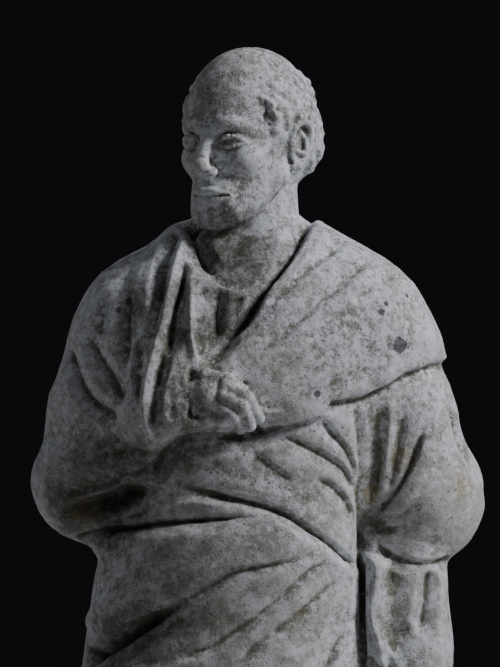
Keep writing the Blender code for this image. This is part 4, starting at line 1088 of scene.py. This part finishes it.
def strands(points):
    """Shallow grooves between strands of hair, combed forward and down, in metres."""
    offset = points - at(*HEAD_PLACE)
    near = np.linalg.norm(offset, axis=1) < HAIR_REACH
    side, ahead, up = offset.T / MILLIMETRE
    turn, nod = radians(HEAD_TURN), radians(HEAD_NOD)
    x, y = side * cos(turn) + ahead * sin(turn), -side * sin(turn) + ahead * cos(turn)
    y, z = y * cos(nod) + up * sin(nod), -y * sin(nod) + up * cos(nod)
    round_it = np.degrees(np.arctan2(np.abs(x), -(y - 14)))
    share = smooth_step((round_it - np.interp(z, *zip(*HAIR_LINE))) / 10)
    share *= 1 - smooth_step(1.6 - np.hypot((round_it - 92) / 22, (z + 4) / 34) * 1.3)
    across = np.radians(round_it) * 88
    curl = 9 * np.sin(z / 17) + 6 * np.sin(across / 23)
    places = np.stack([(across + curl) / 1000, 0.28 * (z - 0.4 * across) / 1000, 0 * z], axis=1)
    return near * share * STRAND_DEPTH * lattice_noise(places, STRAND_WIDTH, 131)


def decimated(obj, chosen, triangles):
    """Leaves about that many triangles among the chosen points, and the rest as it is."""
    mesh = obj.data
    count = sum(len(face.vertices) - 2 for face in mesh.polygons)
    inside = sum(len(face.vertices) - 2 for face in mesh.polygons if chosen[face.vertices[0]])
    obj.vertex_groups.clear()
    group = obj.vertex_groups.new(name="chosen")
    group.add(np.flatnonzero(chosen).tolist(), 1.0, "REPLACE")
    modifier = obj.modifiers.new("fewer", "DECIMATE")
    modifier.vertex_group = group.name
    modifier.vertex_group_factor = 1.0
    modifier.ratio = (count - inside + triangles) / count
    modifier.use_collapse_triangulate = True
    return evaluated_mesh(obj)


def keep_largest_shell(mesh):
    """Takes away the few tiny shells that the reduction leaves loose."""
    edges = edges_of(mesh)
    shell, before = np.arange(len(mesh.vertices)), None
    while before is None or (shell != before).any():
        before = shell.copy()
        for a, b in (edges.T, edges.T[::-1]):
            np.minimum.at(shell, a, before[b])
        shell = shell[shell]
    main = np.bincount(shell).argmax()
    work = bmesh.new()
    work.from_mesh(mesh)
    bmesh.ops.delete(work, geom=[vert for vert in work.verts if shell[vert.index] != main], context="VERTS")
    work.to_mesh(mesh)
    work.free()


def statue_piece():
    """The whole statue's skin, worked fine and weathered, in place of the faceted solid."""
    cell = SKIN_CELL
    obj = carved_figure(cell)
    add_plinth(obj, cell)
    mesh = finer_bare_parts(obj)
    points, normals = points_of(mesh), normals_of(mesh)
    tree = tree_of(obj)
    moved = carve(points, normals, HAIR_FOLDS, tree) + strands(points)
    set_points(mesh, points + moved[:, None] * normals)
    set_points(mesh, weather(points_of(mesh), normals_of(mesh)))
    set_points(mesh, np.clip(points_of(mesh), *solid_bounds))
    mesh = decimated(obj, bare_share(points_of(mesh)) < 0.5, CLOTH_TRIANGLES)
    mesh = decimated(obj, bare_share(points_of(mesh)) >= 0.5, BARE_TRIANGLES)
    keep_largest_shell(mesh)
    set_points(mesh, np.clip(points_of(mesh), *solid_bounds))
    mesh.shade_smooth()
    tree = tree_of(obj)
    # How hollow each point lies and how much the statue shades itself there, kept for the grime and the
    # painted shade in the colour
    near = np.clip(hollowness(mesh, 6) / NEAR_HOLLOW, -1, 1)
    wide = np.clip(hollowness(mesh, 60) / WIDE_HOLLOW, -1, 1)
    keep_as_attribute(mesh, "crevice", np.clip(0.85 * near + 0.5 * wide, -1, 1), 2)
    keep_as_attribute(mesh, "shelter", shelter_of(mesh, tree), 3)
    mesh.materials.clear()
    mesh.materials.append(weathered_marble(tree))
    return obj


# Materials


class Nodes:
    """A material's nodes, added one by one. An input is a value or another node's output."""

    def __init__(self, name):
        self.material = bpy.data.materials.new(name)
        self.material.use_nodes = True
        self.tree = self.material.node_tree
        self.place = self.add("TexCoord").outputs["Object"]

    def add(self, kind, inputs=None, **settings):
        node = self.tree.nodes.new("ShaderNode" + kind)
        for key, value in settings.items():
            setattr(node, key, value)
        self.set(node, inputs or {})
        return node

    def set(self, node, inputs):
        for key, value in inputs.items():
            if isinstance(value, bpy.types.NodeSocket):
                self.tree.links.new(value, node.inputs[key])
            else:
                node.inputs[key].default_value = value

    def finished(self, **looks):
        """The material, with those looks on its surface."""
        named = {key.replace("_", " "): look for key, look in looks.items()}
        self.set(self.tree.nodes["Principled BSDF"], named)
        return self.material

    def noise(self, scale, detail, roughness=0.6, distortion=0.0):
        inputs = {"Scale": scale, "Detail": detail, "Roughness": roughness, "Distortion": distortion}
        return self.add("TexNoise", {"Vector": self.place, **inputs}).outputs["Fac"]

    def ramp(self, value, low, high, out_low=0, out_high=1):
        """Smoothly from out_low to out_high as value goes from low to high."""
        inputs = {"Value": value, "From Min": low, "From Max": high, "To Min": out_low, "To Max": out_high}
        return self.add("MapRange", inputs, interpolation_type="SMOOTHSTEP").outputs["Result"]

    def math(self, operation, first, *others):
        """The operation's result, taken with one value after another."""
        for other in others:
            first = self.add("Math", {0: first, 1: other}, operation=operation).outputs[0]
        return first

    def times(self, *values):
        return self.math("MULTIPLY", *values)

    def plus(self, *values):
        return self.math("ADD", *values)

    def vector(self, operation, *values):
        return self.add("VectorMath", dict(enumerate(values)), operation=operation).outputs

    def mix(self, share, first, second):
        return self.add("Mix", {0: share, 6: first, 7: second}, data_type="RGBA").outputs[2]


def spot_share(nodes, tree, spot, soft, ragged):
    """1 inside a round spot on the front of the statue, 0 outside, with an uneven edge."""
    x, y, radius = spot
    wide = radius * UNIT
    hit = tree.ray_cast(Vector(at(x, y) - np.array([0, 1, 0])), Vector((0, 1, 0)))[0]
    away = nodes.vector("DISTANCE", nodes.place, hit)["Value"]
    gap = nodes.plus(away, nodes.times(ragged, 0.9 * wide), -0.45 * wide)
    return nodes.ramp(gap, wide * (1 - soft), wide * (1 + soft), 1, 0)


def patches(nodes, scale, share, size):
    """Ragged round patches, one in that share of the cells, with radii up to that part of a cell."""
    inputs = {"Vector": nodes.place, "Scale": 2.2 * scale, "Detail": 2.0}
    wander = nodes.add("TexNoise", inputs).outputs["Color"]
    shift = nodes.vector("SUBTRACT", wander, (0.5, 0.5, 0.5))[0]
    ragged = nodes.vector("MULTIPLY_ADD", shift, (0.9 / scale,) * 3, nodes.place)[0]
    cells = nodes.add("TexVoronoi", {"Vector": ragged, "Scale": scale}, feature="F1").outputs
    chance = nodes.add("SeparateColor", {0: cells["Color"]}).outputs
    radius = nodes.ramp(chance["Green"], 0, 1, 0.35 * size, size)
    inside = nodes.ramp(nodes.math("SUBTRACT", cells["Distance"], radius), 0.05, -0.05)
    return nodes.times(inside, nodes.math("LESS_THAN", chance["Red"], share))


def weathered_marble(tree):
    """White marble gone grey outdoors: grime with painted shade in the folds and hollows, painted shade spots,
    specks, pale and dark lichen, ochre stains.
    """
    nodes = Nodes("weathered_marble")
    add, ramp, mix, plus, times = nodes.add, nodes.ramp, nodes.mix, nodes.plus, nodes.times
    crevice = add("Attribute", attribute_name="crevice").outputs["Fac"]
    shelter = add("Attribute", attribute_name="shelter").outputs["Fac"]
    kinds = (BROAD, PATCHY, BLOTCH, MOTTLE, GRAIN, RAGGED)
    broad, patchy, blotch, mottle, grain, ragged = (nodes.noise(*kind) for kind in kinds)
    slope = add("SeparateXYZ", {0: add("NewGeometry").outputs["Normal"]}).outputs["Z"]
    height = add("SeparateXYZ", {0: nodes.place}).outputs["Z"]
    growth = plus(times(ramp(slope, -0.30, 0.65), 0.45), ramp(height, 1.26, 1.42, 0.15, 0.55))

    tone = plus(times(patchy, 0.20), times(blotch, 0.24), times(mottle, 0.30), times(grain, 0.26))
    colour = mix(ramp(tone, 0.435, 0.565), CLEAN_MARBLE, GREY_MARBLE)
    colour = mix(ramp(tone, 0.50, 0.60, 0, 0.70), colour, DULL_MARBLE)
    stained = times(ramp(broad, 0.42, 0.62), ramp(blotch, 0.38, 0.58, 0.25, 1), 0.6)
    colour = mix(stained, colour, WARM_MARBLE)

    # Grime with painted shade: darker in creases and where the statue shades itself, and darker where the tone
    # runs darker
    worn = plus(times(crevice, 0.85), ramp(shelter, 0.25, 0.85, 0, 0.55), times(tone, 2.8), -1.40)
    colour = mix(ramp(worn, 0.10, 0.60, 0, 0.70), colour, OLIVE_GRIME_AND_SHADE)
    colour = mix(ramp(worn, 0.60, 1.20, 0, 0.65), colour, DARK_GRIME_AND_SHADE)
    colour = mix(ramp(crevice, -0.20, -0.80, 0, 0.35), colour, RUBBED_MARBLE)

    specks = times(ramp(grain, 0.545, 0.64), ramp(mottle, 0.40, 0.60), growth)
    colour = mix(specks, colour, SPECK)
    blots = nodes.math("MAXIMUM", patches(nodes, *PALE_PATCHES), patches(nodes, *SMALL_PALE_PATCHES))
    colour = mix(times(blots, growth, ramp(mottle, 0.62, 0.42, 0.25, 1), 0.9), colour, PALE_LICHEN)
    dots = times(patches(nodes, *DARK_PATCHES), ramp(broad, 0.40, 0.52), 0.8)
    colour = mix(dots, colour, DARK_LICHEN)
    # Painted shade with some grime on the listed spots, then ochre stains and dark lichen
    for places, soft, uneven, paint in (
        (SHADE_AND_GRIME_PLACES, 0.85, ramp(tone, 0.42, 0.56, 0.65, 1), DEEP_SHADE_AND_GRIME),
        (OCHRE_STAINS, 0.7, ramp(mottle, 0.35, 0.6), OCHRE),
        (LICHEN_DISCS, 0.18, ramp(grain, 0.30, 0.55, 0.6, 1), DARK_LICHEN),
    ):
        for *spot, strength in places:
            colour = mix(times(spot_share(nodes, tree, spot, soft, ragged), uneven, strength), colour, paint)

    cells = add("TexVoronoi", {"Vector": nodes.place, "Scale": PIT_SCALE}, feature="F1").outputs["Distance"]
    pits = times(ramp(cells, 0.34, 0.12), ramp(patchy, 0.40, 0.62), -0.45)
    relief = plus(times(mottle, 0.7), times(grain, 0.6), pits)
    bump = add("Bump", {"Height": relief, "Distance": BUMP_DEPTH, "Strength": BUMP_STRENGTH})
    rough = ramp(mottle, 0.35, 0.65, 0.72, 0.92)
    return nodes.finished(
        Base_Color=colour, Roughness=rough, Specular_IOR_Level=0.3, Normal=bump.outputs["Normal"]
    )


def floor_paint():
    nodes = Nodes("pale_floor")
    return nodes.finished(Base_Color=nodes.mix(nodes.noise(3, 3), FLOOR_PALE, FLOOR_WARM), Roughness=0.8)


# The studio


def add_floor():
    mesh = bpy.data.meshes.new("floor")
    half = FLOOR_SIZE / 2
    corners = [(-half, -half, 0), (half, -half, 0), (half, half, 0), (-half, half, 0)]
    mesh.from_pydata(corners, [], [(0, 1, 2, 3)])
    mesh.materials.append(floor_paint())
    floor = placed("floor", mesh)
    floor.location.z = -FLOOR_GAP
    floor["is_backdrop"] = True


def add_light(name, place, size, power, colour):
    """A soft panel aimed at the figure's chest."""
    lamp = bpy.data.lights.new(name, "AREA")
    lamp.shape = "DISK"
    lamp.size, lamp.energy, lamp.color = size, power, colour
    obj = placed(name, lamp)
    obj.location = place
    aim = Vector((0, 0, CHEST_HEIGHT)) - obj.location
    obj.rotation_euler = aim.to_track_quat("-Z", "Y").to_euler()


def add_world():
    world = bpy.data.worlds.new("studio")
    world.use_nodes = True
    sky = world.node_tree.nodes["Background"].inputs
    sky["Color"].default_value, sky["Strength"].default_value = WORLD_COLOUR, WORLD_STRENGTH
    bpy.context.scene.world = world


def add_camera():
    """A long lens at chest height, straight in front, framing the figure from the crown to the thighs."""
    camera = bpy.data.cameras.new("camera")
    camera.lens = camera.sensor_width * CAMERA_DISTANCE / (PICTURE_ROWS * UNIT)
    obj = placed("camera", camera)
    aim = at(PICTURE_MIDDLE_X, PICTURE_MIDDLE_Y)
    obj.location = aim - CAMERA_DISTANCE * np.array([0, 1, 0])
    obj.rotation_euler = (pi / 2, 0, 0)
    bpy.context.scene.camera = obj


def write_sizes():
    """Works out the solid's box and the visual model's box as plain lists, and does nothing more with them."""
    boxes = {name: [[float(v) for v in corner] for corner in box] for name, box in
             (("cad", solid_bounds), ("visual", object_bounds()))}


add_camera()
statue = statue_piece()
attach(statue, "root")
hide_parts("orator_statue")
add_floor()
add_world()
for light in LIGHTS:
    add_light(*light)
write_sizes()
